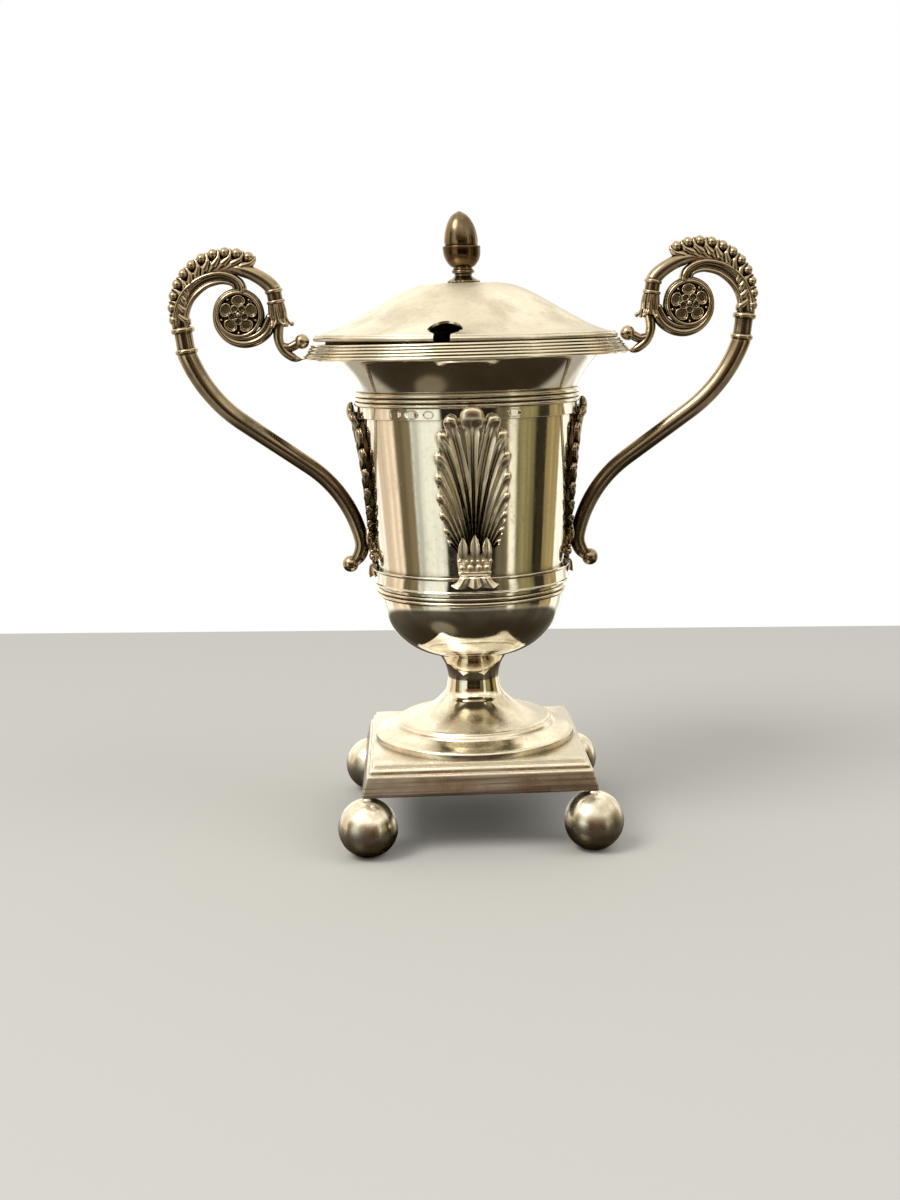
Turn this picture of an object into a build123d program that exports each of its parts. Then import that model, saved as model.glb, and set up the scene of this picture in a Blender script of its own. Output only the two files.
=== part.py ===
from build123d import *
import math
import os

# A silver table urn: a covered vase with two scrolled handles, on a trumpet
# foot, a square plinth and four balls. Millimetres. Z is up, the table is
# Z = 0, the vase's axis is the Z axis and the handles lie in the XZ plane.

# ---- Driving dimensions ----------------------------------------------------
WALL = 0.9                      # sheet the vase, lid and foot are raised from
FIT = 0.05                      # gap between pieces that slip into each other

BALL_R = 7.7                    # ball feet
BALL_FLAT = 0.15                # worn flat under each ball
BALL_OFFSET = 29.0              # ball centre from the axis along X and Y
PEG_R = 1.3                     # neck that joins a ball to the plinth corner

PLINTH_LOW = 15.7               # underside of the square plinth
PLINTH_TOP = 23.6               # its top face
PLINTH_STEPS = [                # (low z, half side, high z, half side)
    (15.7, 30.4, 21.0, 28.9),
    (21.0, 28.5, 22.6, 27.9),
    (22.6, 27.6, 23.6, 27.3),
]
PLINTH_WALL = 1.2
FOOT_HOLE_R = 16.0              # hole in the plinth's top under the foot

DISC_R = 26.8                   # stepped disc between plinth and foot
DISC_STEP_R = 21.3
FOOT_R = 20.6                   # rim of the trumpet foot
FOOT_LOW = 28.6                 # top face at that rim
STEM_R = 7.05                   # narrowest part of the stem
STEM_WAIST = 38.3               # height of the narrowest part
STEM_TOP_R = 10.0

BOWL_LOW = 47.0                 # underside of the vase
BOWL_TOP = 63.0                 # where the round bottom meets the wall
BAND_LOW = 66.6                 # plain lower band
BAND_HIGH = 71.0
BAND_R = 26.0
WALL_R = 25.2                   # wall radius at the top of the lower band
WALL_TAPER = 3.0 / 39.6         # how much the wall widens per mm of height
UPPER_BAND_LOW = 110.6
UPPER_BAND_R = 28.9
RINGS_LOW = 113.5               # three reeds at the foot of the neck
RINGS_HIGH = 117.1
LIP_LOW = 125.9                 # underside of the turned-out lip
LIP_R = 42.3

RIM_R = 42.9                    # reeded moulding on the lip
RIM_TOP = 129.5
RIM_TOP_R = 39.6
RIM_BORE_R = 36.8
RIM_REEDS = 5

LID_R = 39.2
LID_GAP = 0.1                   # the lid's edge wire over the rim
EDGE_H = 0.8                    # height of the edge wire
LID_TOP = 144.3
BEZEL_R = 36.5                  # collar that drops inside the rim
BEZEL_WALL = 0.9
BEZEL_LOW = 127.2
NOTCH_TURN = -10.4              # spoon notch, degrees from the front
NOTCH_IN = 29.9                 # radius where the notch starts
NOTCH_WIDEST = 34.8
NOTCH_NECK = 37.8
NOTCH_HALF = 4.25
SLOT_HALF = 2.05

STUD_R = 1.0                    # screwed stud that holds the finial
CUP_LOW = 148.4
NUT_LOW = 153.7
FINIAL_TOP = 162.5

PALMETTE_LOW = 68.3
PALMETTE_TOP = 113.6
PALMETTE_HALF = 8.75
PALMETTE_LOBES = 8              # lobes on each side of the middle one
LOBE_R = 1.25

ARM_R = 1.95                    # long S-shaped arm
ARM_TOP = (72.5, 127.9)
ARM_START = (-0.34, -0.94)      # direction in which it leaves the collar
ARM_BEND = (58.8, 109.9)        # end of its upper curve
ARM_STRAIGHT = 20.5
ARM_FOOT = (28.95, 78.0)
ARM_BALL = (31.9, 71.6)
ARM_BALL_R = 2.35
COLLAR_TOP = (73.4, 134.9)      # outer double collar
ARCH_R = 1.75                   # scroll over the rosette
ARCH_TOP = (60.2, 148.3)
ARCH_END = (49.45, 144.1)
CREST_CENTRE = (61.3, 139.3)
CREST_R = 14.1                  # circle that the leaf tips' beads lie on
CREST_FIRST = -10.0             # angle of the first bead, degrees
CREST_STEP = 12.46
CREST_LEAVES = 11
BEAD_R = 1.1
INNER_COLLAR_LOW = (48.8, 140.2)
CALYX_LOW = (48.2, 134.7)
ROSETTE = (58.6, 137.8)
ROSETTE_R = 5.6
VOLUTE_R = 6.6
STRAND_R = 1.0
BRACKET_R = 1.25
RIM_BALL = (42.3, 129.1)
RIM_BALL_R = 1.6


# ---- Helpers ---------------------------------------------------------------
def wall_r(h):
    """Outer radius of the vase's tapered wall at height h."""
    return WALL_R + (h - BAND_HIGH) * WALL_TAPER


def turned(*edges):
    """Closed outline in (radius, height), turned about the vase's axis."""
    return revolve(Plane.XZ * make_face(list(edges)), Axis.Z)


def turned_polygon(*points):
    return turned(Polyline(*points, close=True))


def sheet(*edges):
    """Sheet WALL thick on the left of a chain of edges, turned about the axis."""
    band = offset(Wire(list(edges)), WALL, side=Side.LEFT)
    return revolve(Plane.XZ * make_face(band.edges()), Axis.Z)


def rod(radius, *edges):
    """Round rod along a chain of edges drawn in the XZ plane."""
    path = Plane.XZ * Wire(list(edges))
    return sweep(Plane(path @ 0, z_dir=path % 0) * Circle(radius), path=path)


def bead(centre, radius):
    return Pos(centre[0], 0, centre[1]) * Sphere(radius)


def spindle(low, high, *profile):
    """Turned piece standing on the line from low to high in the XZ plane.

    profile holds (radius, height) corners, with heights measured from low.
    """
    lean = Vector(high[0] - low[0], 0, high[1] - low[1])
    foot = Plane((low[0], 0, low[1]), x_dir=(0, 1, 0), z_dir=lean)
    return foot * turned_polygon((0, profile[0][1]), *profile, (0, profile[-1][1]))


def reeds(low, high, count):
    """Row of half-round reeds as arcs between two (radius, height) points."""
    low, high = Vector(*low), Vector(*high)
    step = (high - low) / count
    out = Vector(step.Y, -step.X) * 0.32
    arcs = []
    for i in range(count):
        start = low + step * i
        end = start + step
        arcs.append(ThreePointArc(start, (start + end) / 2 + out, end))
    return arcs


# ---- Base ------------------------------------------------------------------
def ball_foot(x, y):
    centre = BALL_R - BALL_FLAT
    ball = Pos(x, y, centre) * Sphere(BALL_R)
    peg = Pos(x, y, centre) * Cylinder(PEG_R, PLINTH_LOW - centre,
                                       align=(Align.CENTER, Align.CENTER, Align.MIN))
    above_table = Pos(x, y, 0) * Box(20, 20, 20, align=(Align.CENTER, Align.CENTER, Align.MIN))
    return (ball + peg) & above_table


def frustum(z0, half0, z1, half1):
    low = Pos(0, 0, z0) * Rectangle(2 * half0, 2 * half0)
    high = Pos(0, 0, z1) * Rectangle(2 * half1, 2 * half1)
    return loft([low, high], ruled=True)


def plinth():
    body = frustum(*PLINTH_STEPS[0])
    for step in PLINTH_STEPS[1:]:
        body += frustum(*step)
    z0, half0, _, _ = PLINTH_STEPS[0]
    half1 = PLINTH_STEPS[-1][3]
    inside = frustum(z0, half0 - PLINTH_WALL, PLINTH_TOP - WALL, half1 - PLINTH_WALL)
    gussets = []
    for x in (-1, 1):
        for y in (-1, 1):
            corner = Pos(x * (BALL_OFFSET - 3), y * (BALL_OFFSET - 3), z0)
            gussets.append(corner * Box(8, 8, WALL, align=(Align.CENTER, Align.CENTER, Align.MIN)))
    shell = body - inside
    for gusset in gussets:
        shell += gusset & body
    return shell - Pos(0, 0, PLINTH_TOP) * Cylinder(FOOT_HOLE_R, 4)


def foot_disc():
    return turned_polygon(
        (FOOT_R, FOOT_LOW), (DISC_STEP_R - 0.2, FOOT_LOW - 0.1), (DISC_STEP_R, FOOT_LOW - 0.4),
        (DISC_STEP_R + 0.3, 27.2), (DISC_R - 0.4, 25.5), (DISC_R, 25.1),
        (DISC_R, PLINTH_TOP), (DISC_R - WALL, PLINTH_TOP), (DISC_R - WALL, 24.6),
        (FOOT_R, 26.4))


def foot_stem():
    throat = ThreePointArc((STEM_TOP_R, BOWL_LOW), (8.05, 44.5), (STEM_R, STEM_WAIST))
    turn = ThreePointArc((STEM_R, STEM_WAIST), (7.5, 36.4), (8.9, 34.7))
    flare = ThreePointArc((8.9, 34.7), (13.3, 31.1), (FOOT_R, FOOT_LOW))
    shell = offset(Wire([throat, turn, flare]), WALL, side=Side.RIGHT)
    solid = revolve(Plane.XZ * make_face(shell.edges()), Axis.Z)
    keep = Pos(0, 0, 26) * Cylinder(FOOT_R, BOWL_LOW - 26,
                                    align=(Align.CENTER, Align.CENTER, Align.MIN))
    return solid & keep


# ---- Vase ------------------------------------------------------------------
def vase_body():
    floor = Line((0, BOWL_LOW), (STEM_TOP_R + 0.2, BOWL_LOW))
    under = ThreePointArc(floor @ 1, (14.5, 48.25), (18.4, 50.8))
    side = TangentArc((18.4, 50.8), (wall_r(BOWL_TOP), BOWL_TOP), tangent=under % 1)
    wall = Line(side @ 1, (wall_r(RINGS_HIGH), RINGS_HIGH))
    neck = ThreePointArc(wall @ 1, (30.9, 121.0), (34.0, 124.8))
    turn = TangentArc((34.0, 124.8), (36.4, LIP_LOW), tangent=neck % 1)
    lip = Line(turn @ 1, (LIP_R, LIP_LOW))
    return sheet(floor, under, side, wall, neck, turn, lip)


def rim_moulding():
    seat = LIP_LOW + WALL
    corners = Polyline((RIM_TOP_R, RIM_TOP), (RIM_BORE_R, RIM_TOP), (RIM_BORE_R, seat),
                       (LIP_R + FIT, seat), (LIP_R + FIT, LIP_LOW - 0.2), (RIM_R, LIP_LOW - 0.2))
    return turned(*reeds((RIM_R, LIP_LOW - 0.2), (RIM_TOP_R, RIM_TOP), RIM_REEDS), corners)


def neck_rings():
    out = wall_r(RINGS_LOW) + 0.75
    back = Polyline((out, RINGS_HIGH), (wall_r(RINGS_HIGH), RINGS_HIGH),
                    (wall_r(RINGS_LOW), RINGS_LOW), (out, RINGS_LOW))
    return turned(*reeds((out, RINGS_LOW), (out, RINGS_HIGH), 3), back)


def upper_band():
    return turned_polygon((wall_r(UPPER_BAND_LOW), UPPER_BAND_LOW),
                          (UPPER_BAND_R, UPPER_BAND_LOW), (UPPER_BAND_R, RINGS_LOW),
                          (wall_r(RINGS_LOW), RINGS_LOW))


def lower_band():
    lip = BAND_R + 0.35
    return turned_polygon((wall_r(BAND_LOW), BAND_LOW), (lip, BAND_LOW), (lip, BAND_LOW + 0.5),
                          (BAND_R, BAND_LOW + 0.7), (BAND_R, BAND_HIGH - 0.7),
                          (lip, BAND_HIGH - 0.5), (lip, BAND_HIGH),
                          (wall_r(BAND_HIGH), BAND_HIGH))


def lower_reeds():
    low, high = BOWL_TOP + 0.3, BAND_LOW - 0.9
    out = wall_r(low) + 0.3
    back = Polyline((out, high), (wall_r(high), high), (wall_r(low), low), (out, low))
    return turned(*reeds((out, low), (out, high), 2), back)


def palmette_outline():
    """Lobed fan, tapering to a narrow root, on a flared foot."""
    root, top = PALMETTE_LOW + 9, PALMETTE_TOP - LOBE_R
    fan = Polyline((-3.6, root), (-PALMETTE_HALF + 3, root + 6), (-PALMETTE_HALF + 1.2, root + 20),
                   (-PALMETTE_HALF + 3, top - 3), (0, top), (PALMETTE_HALF - 3, top - 3),
                   (PALMETTE_HALF - 1.2, root + 20), (PALMETTE_HALF - 3, root + 6),
                   (3.6, root), close=True)
    outline = make_face(fan)
    for side in (-1, 1):
        for i in range(PALMETTE_LOBES):
            rise = (i + 0.5) / PALMETTE_LOBES
            across = PALMETTE_HALF - LOBE_R - 2.6 * (1 - rise) ** 2 - 5.0 * max(0, rise - 0.75)
            height = root + 2.5 + (top - root - 4.5) * rise
            outline += Pos(side * across, height) * Circle(LOBE_R)
    outline += Pos(0, top) * Circle(LOBE_R * 1.4)
    foot = Polyline((-6.2, PALMETTE_LOW), (-3.8, PALMETTE_LOW + 3.5), (-3.8, root + 1),
                    (3.8, root + 1), (3.8, PALMETTE_LOW + 3.5), (6.2, PALMETTE_LOW), close=True)
    return outline + make_face(foot)


def palmette_shell():
    """Skin that the palmettes are cut from: it follows the wall and its bands."""
    skin = turned_polygon((20, PALMETTE_LOW), (27.5, PALMETTE_LOW), (27.3, BAND_HIGH + 1),
                          (wall_r(76) + 1.1, 76), (wall_r(106) + 1.2, 106),
                          (wall_r(PALMETTE_TOP) + 2.0, PALMETTE_TOP - 1),
                          (wall_r(PALMETTE_TOP) + 1.8, PALMETTE_TOP), (20, PALMETTE_TOP))
    core = turned_polygon((0, 60), (wall_r(60), 60), (wall_r(120), 120), (0, 120))
    return skin - core - upper_band() - lower_band() - neck_rings()


def palmette():
    """The front palmette; the others are this one turned about the axis."""
    return extrude(Plane.XZ * palmette_outline(), 40) & palmette_shell()


# ---- Lid -------------------------------------------------------------------
def notch():
    """Spoon hole with a slot to the lid's edge, as a block through the lid."""
    hole = ThreePointArc((-NOTCH_HALF, NOTCH_WIDEST), (0, NOTCH_IN), (NOTCH_HALF, NOTCH_WIDEST))
    sides = Polyline((NOTCH_HALF, NOTCH_WIDEST), (SLOT_HALF, NOTCH_NECK), (SLOT_HALF, 45),
                     (-SLOT_HALF, 45), (-SLOT_HALF, NOTCH_NECK), (-NOTCH_HALF, NOTCH_WIDEST))
    outline = make_face([hole, sides])
    block = extrude(Pos(0, 0, BEZEL_LOW - 2) * outline, LID_TOP - BEZEL_LOW)
    return Rot(0, 0, 180 + NOTCH_TURN) * block


def edge_low():
    return RIM_TOP + LID_GAP


def lid_dome():
    base = edge_low() + EDGE_H
    under = [(LID_R, base), (38.0, base), (31.7, 133.3), (24.0, 137.1), (16.0, 141.4)]
    rise = Spline((LID_R, base + 0.8), (31.7, 134.2), (24.0, 138.0), (16.0, 142.3),
                  (10.0, LID_TOP), tangents=((-1, 0.25), (-1, 0.05)))
    top = Line((10.0, LID_TOP), (STUD_R + FIT, LID_TOP))
    hole = Line((STUD_R + FIT, LID_TOP), (STUD_R + FIT, LID_TOP - WALL))
    ceiling = Line((STUD_R + FIT, LID_TOP - WALL), (10.0, LID_TOP - WALL))
    inner = Spline((10.0, LID_TOP - WALL), *reversed(under[2:]), (38.0, base))
    edge = Polyline((38.0, base), (LID_R, base), (LID_R, base + 0.8))
    return turned(rise, top, hole, ceiling, inner, edge) - notch()


def lid_edge_wire():
    low, high = edge_low(), edge_low() + EDGE_H
    round_edge = ThreePointArc((LID_R, low), (LID_R + 0.4, (low + high) / 2), (LID_R, high))
    back = Polyline((LID_R, high), (38.0, high), (38.0, low), (LID_R, low))
    return turned(round_edge, back) - notch()


def lid_bezel():
    inner = BEZEL_R - BEZEL_WALL
    ring = turned_polygon((inner, BEZEL_LOW), (BEZEL_R, BEZEL_LOW), (BEZEL_R, 130.75),
                          (inner, 131.1))
    return ring - notch()


def finial_base():
    bore = STUD_R + FIT
    return turned_polygon((bore, LID_TOP), (4.1, LID_TOP), (4.1, 144.9), (3.2, 145.3),
                          (2.2, 146.0), (2.3, 146.7), (2.9, 147.0), (2.9, 147.6),
                          (2.5, 147.9), (2.5, CUP_LOW), (bore, CUP_LOW))


def finial_cup():
    bore = STUD_R + FIT
    belly = ThreePointArc((2.9, CUP_LOW), (4.55, 150.6), (4.8, 152.9))
    rest = Polyline((4.8, 152.9), (4.65, NUT_LOW), (0, NUT_LOW), (0, 151.6),
                    (bore, 151.6), (bore, CUP_LOW), (2.9, CUP_LOW))
    return turned(belly, rest)


def finial_acorn():
    side = Spline((4.2, NUT_LOW), (4.35, 155.2), (3.8, 158.3), (2.3, 160.8), (0.5, FINIAL_TOP - 0.3),
                  tangents=((0.3, 1), (-0.8, 1)))
    rest = Polyline((0.5, FINIAL_TOP - 0.3), (0, FINIAL_TOP), (0, NUT_LOW), (4.2, NUT_LOW))
    return turned(side, rest)


def finial_stud():
    low = LID_TOP - WALL - 3.2
    return Pos(0, 0, low) * Cylinder(STUD_R, 151.4 - low, align=(Align.CENTER, Align.CENTER, Align.MIN))


def finial_nut():
    height = 2.2
    hexagon = RegularPolygon(2.6, 6) - Circle(STUD_R + FIT)
    return extrude(Pos(0, 0, LID_TOP - WALL - height) * hexagon, height)


# ---- Handles (the right one; the left one is its mirror image) ----------------
def arm():
    upper = TangentArc(ARM_TOP, ARM_BEND, tangent=ARM_START)
    middle = Line(ARM_BEND, upper @ 1 + (upper % 1) * ARM_STRAIGHT)
    lower = TangentArc(middle @ 1, ARM_FOOT, tangent=middle % 1)
    hook = TangentArc(ARM_FOOT, ARM_BALL, tangent=lower % 1)
    return rod(ARM_R, upper, middle, lower, hook) + bead(ARM_BALL, ARM_BALL_R) - outer_collar()


def outer_collar():
    height = math.dist(ARM_TOP, COLLAR_TOP)
    return spindle(ARM_TOP, COLLAR_TOP, (2.3, 0), (2.95, 0.2), (2.95, 1.1), (2.45, 1.4),
                   (2.45, height - 1.4), (3.15, height - 1.1), (3.15, height - 0.2), (2.4, height))


def arch():
    """Tube over the rosette, with the short drop that carries the rosette."""
    rise = ThreePointArc(COLLAR_TOP, (69.4, 144.6), ARCH_TOP)
    fall = TangentArc(ARCH_TOP, ARCH_END, tangent=rise % 1)
    tube = rod(ARCH_R, rise, fall) - outer_collar() - inner_collar()
    drop_x = ROSETTE[0] - 0.4
    drop_low = ROSETTE[1] + math.sqrt(VOLUTE_R ** 2 - 0.4 ** 2) - 0.15
    drop = spindle((drop_x, drop_low), (drop_x, ARCH_TOP[1]), (1.5, 0), (1.1, 0.8),
                   (1.1, ARCH_TOP[1] - drop_low))
    return tube + drop - volute()


def crest_point(angle):
    turn = math.radians(angle)
    return (CREST_CENTRE[0] + CREST_R * math.cos(turn), CREST_CENTRE[1] + CREST_R * math.sin(turn))


def leaf_crest():
    """Row of leaves along the top of the arch, each ending in a bead."""
    last = CREST_FIRST + CREST_STEP * (CREST_LEAVES - 1)
    outer = ThreePointArc(crest_point(CREST_FIRST), crest_point((CREST_FIRST + last) / 2),
                          crest_point(last))
    inner = ThreePointArc((72.8, 137.0), (68.6, 144.6), (55.5, 149.0))
    plate = make_face([outer, Line(outer @ 1, inner @ 1), inner, Line(inner @ 0, outer @ 0)])
    crest = extrude(Plane.XZ * plate, 1.2, both=True)
    for i in range(CREST_LEAVES):
        crest += bead(crest_point(CREST_FIRST + i * CREST_STEP), BEAD_R)
    return crest - arch() - outer_collar()


def inner_collar():
    height = math.dist(INNER_COLLAR_LOW, ARCH_END)
    return spindle(INNER_COLLAR_LOW, ARCH_END, (1.9, 0), (2.35, 0.15), (2.35, 0.9), (2.05, 1.1),
                   (2.05, height - 1.1), (2.35, height - 0.9), (2.35, height - 0.15),
                   (1.9, height))


def calyx():
    height = math.dist(CALYX_LOW, INNER_COLLAR_LOW)
    body = spindle(CALYX_LOW, INNER_COLLAR_LOW, (2.3, 0), (2.5, 0.6), (1.9, 1.6),
                   (2.35, height - 1.2), (2.1, height))
    return body - inner_collar()


def volute():
    """Ring round the rosette, with the strand that winds under it."""
    ring = Circle(VOLUTE_R) - Circle(ROSETTE_R + FIT)
    ring = extrude(Plane.XZ * (Pos(*ROSETTE) * ring), 1.3, both=True)
    strand = ThreePointArc((50.1, 134.2), (55.9, 129.85), (64.0, 133.6))
    return ring + rod(STRAND_R, strand) - calyx() - inner_collar()


def rosette():
    disc = extrude(Plane.XZ * (Pos(*ROSETTE) * Circle(ROSETTE_R)), 0.9, both=True)
    for face in (-1, 1):
        for i in range(5):
            turn = math.radians(90 + 72 * i)
            x = ROSETTE[0] + 3.0 * math.cos(turn)
            z = ROSETTE[1] + 3.0 * math.sin(turn)
            disc += Pos(x, face * 0.9, z) * Rot(90, 0, 0) * Cylinder(1.5, 0.6)
        disc += Pos(ROSETTE[0], face * 0.9, ROSETTE[1]) * Sphere(0.8)
    return disc


def rim_bracket():
    """S-shaped stay from the calyx to the rim, with a ball on its foot."""
    low = (43.6, 126.75)
    drop = Line(CALYX_LOW, (48.1, 131.9))
    bend = TangentArc((48.1, 131.9), (45.5, 127.4), tangent=drop % 1)
    toe = TangentArc((45.5, 127.4), low, tangent=bend % 1)
    stay = rod(BRACKET_R, drop, bend, toe) + bead(low, BRACKET_R) + bead(RIM_BALL, RIM_BALL_R)
    return stay - rim_moulding() - calyx() - volute()


HANDLE_PIECES = {
    "arm": arm, "outer_collar": outer_collar, "arch": arch, "leaf_crest": leaf_crest,
    "inner_collar": inner_collar, "calyx": calyx, "volute": volute, "rosette": rosette,
    "rim_bracket": rim_bracket,
}


# ---- Assembly ----------------------------------------------------------------
def build():
    parts = {
        "plinth": plinth(), "foot_disc": foot_disc(), "foot_stem": foot_stem(),
        "vase_body": vase_body(), "rim_moulding": rim_moulding(), "neck_rings": neck_rings(),
        "upper_band": upper_band(), "lower_band": lower_band(), "lower_reeds": lower_reeds(),
        "lid_dome": lid_dome(), "lid_edge_wire": lid_edge_wire(), "lid_bezel": lid_bezel(),
        "finial_base": finial_base(), "finial_cup": finial_cup(), "finial_acorn": finial_acorn(),
        "finial_stud": finial_stud(), "finial_nut": finial_nut(),
    }
    for name, x, y in (("front_left", -1, -1), ("front_right", 1, -1),
                       ("back_left", -1, 1), ("back_right", 1, 1)):
        parts["ball_foot_" + name] = ball_foot(x * BALL_OFFSET, y * BALL_OFFSET)
    front = palmette()
    for name, turn in (("front", 0), ("right", 90), ("back", 180), ("left", 270)):
        parts["palmette_" + name] = Rot(0, 0, turn) * front
    for name, make in HANDLE_PIECES.items():
        piece = make()
        parts["handle_right_" + name] = piece
        parts["handle_left_" + name] = mirror(piece, about=Plane.YZ)
    return parts


os.makedirs("parts", exist_ok=True)
for node, shape in build().items():
    export_step(shape, f"parts/{node}.step")
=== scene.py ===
import math
import bpy
import bmesh
import numpy as np
from mathutils import Matrix, Vector, noise


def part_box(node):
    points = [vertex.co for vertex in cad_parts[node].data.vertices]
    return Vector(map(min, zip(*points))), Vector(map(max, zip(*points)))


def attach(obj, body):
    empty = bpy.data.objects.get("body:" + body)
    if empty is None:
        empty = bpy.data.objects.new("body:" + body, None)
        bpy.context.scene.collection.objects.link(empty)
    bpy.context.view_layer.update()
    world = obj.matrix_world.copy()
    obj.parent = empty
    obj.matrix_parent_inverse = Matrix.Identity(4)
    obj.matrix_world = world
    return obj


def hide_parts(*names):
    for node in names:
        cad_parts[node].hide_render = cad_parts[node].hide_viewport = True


# A silver table vase with a lid and two scrolled handles. Lengths in this
# script are millimetres in the CAD frame; make() turns them into metres.

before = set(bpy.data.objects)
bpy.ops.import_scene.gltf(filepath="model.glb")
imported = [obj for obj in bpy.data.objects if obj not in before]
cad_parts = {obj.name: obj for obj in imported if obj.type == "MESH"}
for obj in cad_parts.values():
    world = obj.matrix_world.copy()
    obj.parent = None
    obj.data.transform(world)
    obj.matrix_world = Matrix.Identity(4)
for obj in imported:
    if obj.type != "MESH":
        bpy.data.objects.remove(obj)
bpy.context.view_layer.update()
MM = 0.001
TAU = 2 * math.pi


# ---- Places read from the CAD nodes ------------------------------------------
def span(node):
    """Lowest height, highest height and outer radius of a turned node."""
    low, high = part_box(node)
    return low.z / MM, high.z / MM, high.x / MM


def middle(node):
    low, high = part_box(node)
    return (low + high) / 2 / MM


PLINTH_LOW, PLINTH_TOP, PLINTH_HALF = span("plinth")
DISC_LOW, DISC_TOP, DISC_R = span("foot_disc")
_, STEM_TOP, FOOT_R = span("foot_stem")
BODY_LOW, BODY_TOP, LIP_R = span("vase_body")
BAND_LOW, BAND_HIGH, BAND_R = span("lower_band")
REED_LOW, REED_HIGH, _ = span("lower_reeds")
UPPER_LOW, UPPER_HIGH, UPPER_R = span("upper_band")
RINGS_LOW, RINGS_HIGH, _ = span("neck_rings")
RIM_LOW, RIM_TOP, RIM_R = span("rim_moulding")
EDGE_LOW, EDGE_HIGH, EDGE_R = span("lid_edge_wire")
_, LID_TOP, LID_R = span("lid_dome")
BASE_LOW, BASE_TOP, _ = span("finial_base")
CUP_LOW, CUP_TOP, CUP_R = span("finial_cup")
ACORN_LOW, ACORN_TOP, _ = span("finial_acorn")
PALM_LOW, _, _ = span("palmette_front")
ROSETTE = middle("handle_right_rosette")

SHEET = 0.9                     # thickness of the raised sheet
WALL_R = 25.2                   # wall radius at the top of the lower band
WALL_TAPER = 3.0 / 39.6
BOWL_TOP = 63.0


def wall_r(h):
    return WALL_R + (h - BAND_HIGH) * WALL_TAPER


# ---- Curves in a plane ---------------------------------------------------------
def arc3(a, b, c, count=12):
    """Arc from a through b to c."""
    (ax, ay), (bx, by), (cx, cy) = a, b, c
    d = 2 * (ax * (by - cy) + bx * (cy - ay) + cx * (ay - by))
    sa, sb, sc = ax * ax + ay * ay, bx * bx + by * by, cx * cx + cy * cy
    ux = (sa * (by - cy) + sb * (cy - ay) + sc * (ay - by)) / d
    uy = (sa * (cx - bx) + sb * (ax - cx) + sc * (bx - ax)) / d
    r = math.hypot(ax - ux, ay - uy)
    start = math.atan2(ay - uy, ax - ux)
    turn = (math.atan2(cy - uy, cx - ux) - start) % TAU
    if (math.atan2(by - uy, bx - ux) - start) % TAU > turn:
        turn -= TAU
    steps = [start + turn * i / count for i in range(count + 1)]
    return [(ux + r * math.cos(t), uy + r * math.sin(t)) for t in steps]


def leave(a, along, b, count=16):
    """Arc that leaves a in the direction along and ends at b, and its last direction."""
    a, b, along = np.array(a, float), np.array(b, float), np.array(along, float)
    along = along / np.linalg.norm(along)
    side = np.array((-along[1], along[0]))
    chord = b - a
    bend = chord @ chord / (2 * (chord @ side))
    centre = a + side * bend
    turn = 2 * math.atan2(chord @ side, chord @ along)
    points = []
    for i in range(count + 1):
        t = turn * i / count
        points.append(tuple(centre + bend * (along * math.sin(t) - side * math.cos(t))))
    last = along * math.cos(turn) + side * math.sin(turn)
    return points, last


def smooth(points, per=8):
    """Catmull-Rom curve through points with any number of coordinates."""
    p = [np.array(q, float) for q in points]
    p = [2 * p[0] - p[1]] + p + [2 * p[-1] - p[-2]]
    out = []
    for i in range(1, len(p) - 2):
        for k in range(per):
            t = k / per
            out.append(0.5 * (2 * p[i] + (p[i + 1] - p[i - 1]) * t
                              + (2 * p[i - 1] - 5 * p[i] + 4 * p[i + 1] - p[i + 2]) * t ** 2
                              + (3 * p[i] - p[i - 1] - 3 * p[i + 1] + p[i + 2]) * t ** 3))
    out.append(p[-2])
    return out


def chain(*runs):
    """One run of points from several that meet end to start."""
    out = []
    for run in runs:
        for q in run:
            if not out or math.dist(out[-1], q) > 1e-6:
                out.append(tuple(q))
    return out


def eased(corners):
    """Outline whose corners (x, y, radius) are rounded; radius may be left out."""
    out = []
    n = len(corners)
    for i, corner in enumerate(corners):
        p = np.array(corner[:2], float)
        before = np.array(corners[i - 1][:2], float)
        after = np.array(corners[(i + 1) % n][:2], float)
        cut = corner[2] if len(corner) > 2 else 0
        cut = min(cut, 0.45 * math.dist(p, before), 0.45 * math.dist(p, after))
        if cut <= 0:
            out.append(tuple(p))
            continue
        a = p + (before - p) / math.dist(p, before) * cut
        b = p + (after - p) / math.dist(p, after) * cut
        for t in (0, 0.25, 0.5, 0.75, 1):
            out.append(tuple((1 - t) ** 2 * a + 2 * t * (1 - t) * p + t * t * b))
    return out


def reeds(low, high, count, swell):
    """Row of half-round reeds between two (radius, height) points."""
    low, high = np.array(low, float), np.array(high, float)
    step = (high - low) / count
    out = np.array((step[1], -step[0])) * swell
    runs = []
    for i in range(count):
        start = low + step * i
        runs.append(arc3(start, start + step / 2 + out, start + step, 8))
    return chain(*runs)


def beside(run, gap):
    """The run moved sideways by gap, to the left of its direction."""
    p = np.array(run, float)
    d = np.gradient(p, axis=0)
    d /= np.linalg.norm(d, axis=1)[:, None]
    return [tuple(q) for q in p + gap * np.stack((-d[:, 1], d[:, 0]), axis=1)]


def ramp(x, *stops):
    """Value at x of straight lines through (x, value) stops."""
    return float(np.interp(x, [s[0] for s in stops], [s[1] for s in stops]))


def taper(path, shares, sizes):
    """Size at each point of a path, from sizes at shares of its points."""
    return np.interp(np.linspace(0, 1, len(path)), shares, sizes)

def soft(x):
    """Smooth step from 0 to 1."""
    x = min(1, max(0, x))
    return x * x * (3 - 2 * x)


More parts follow.
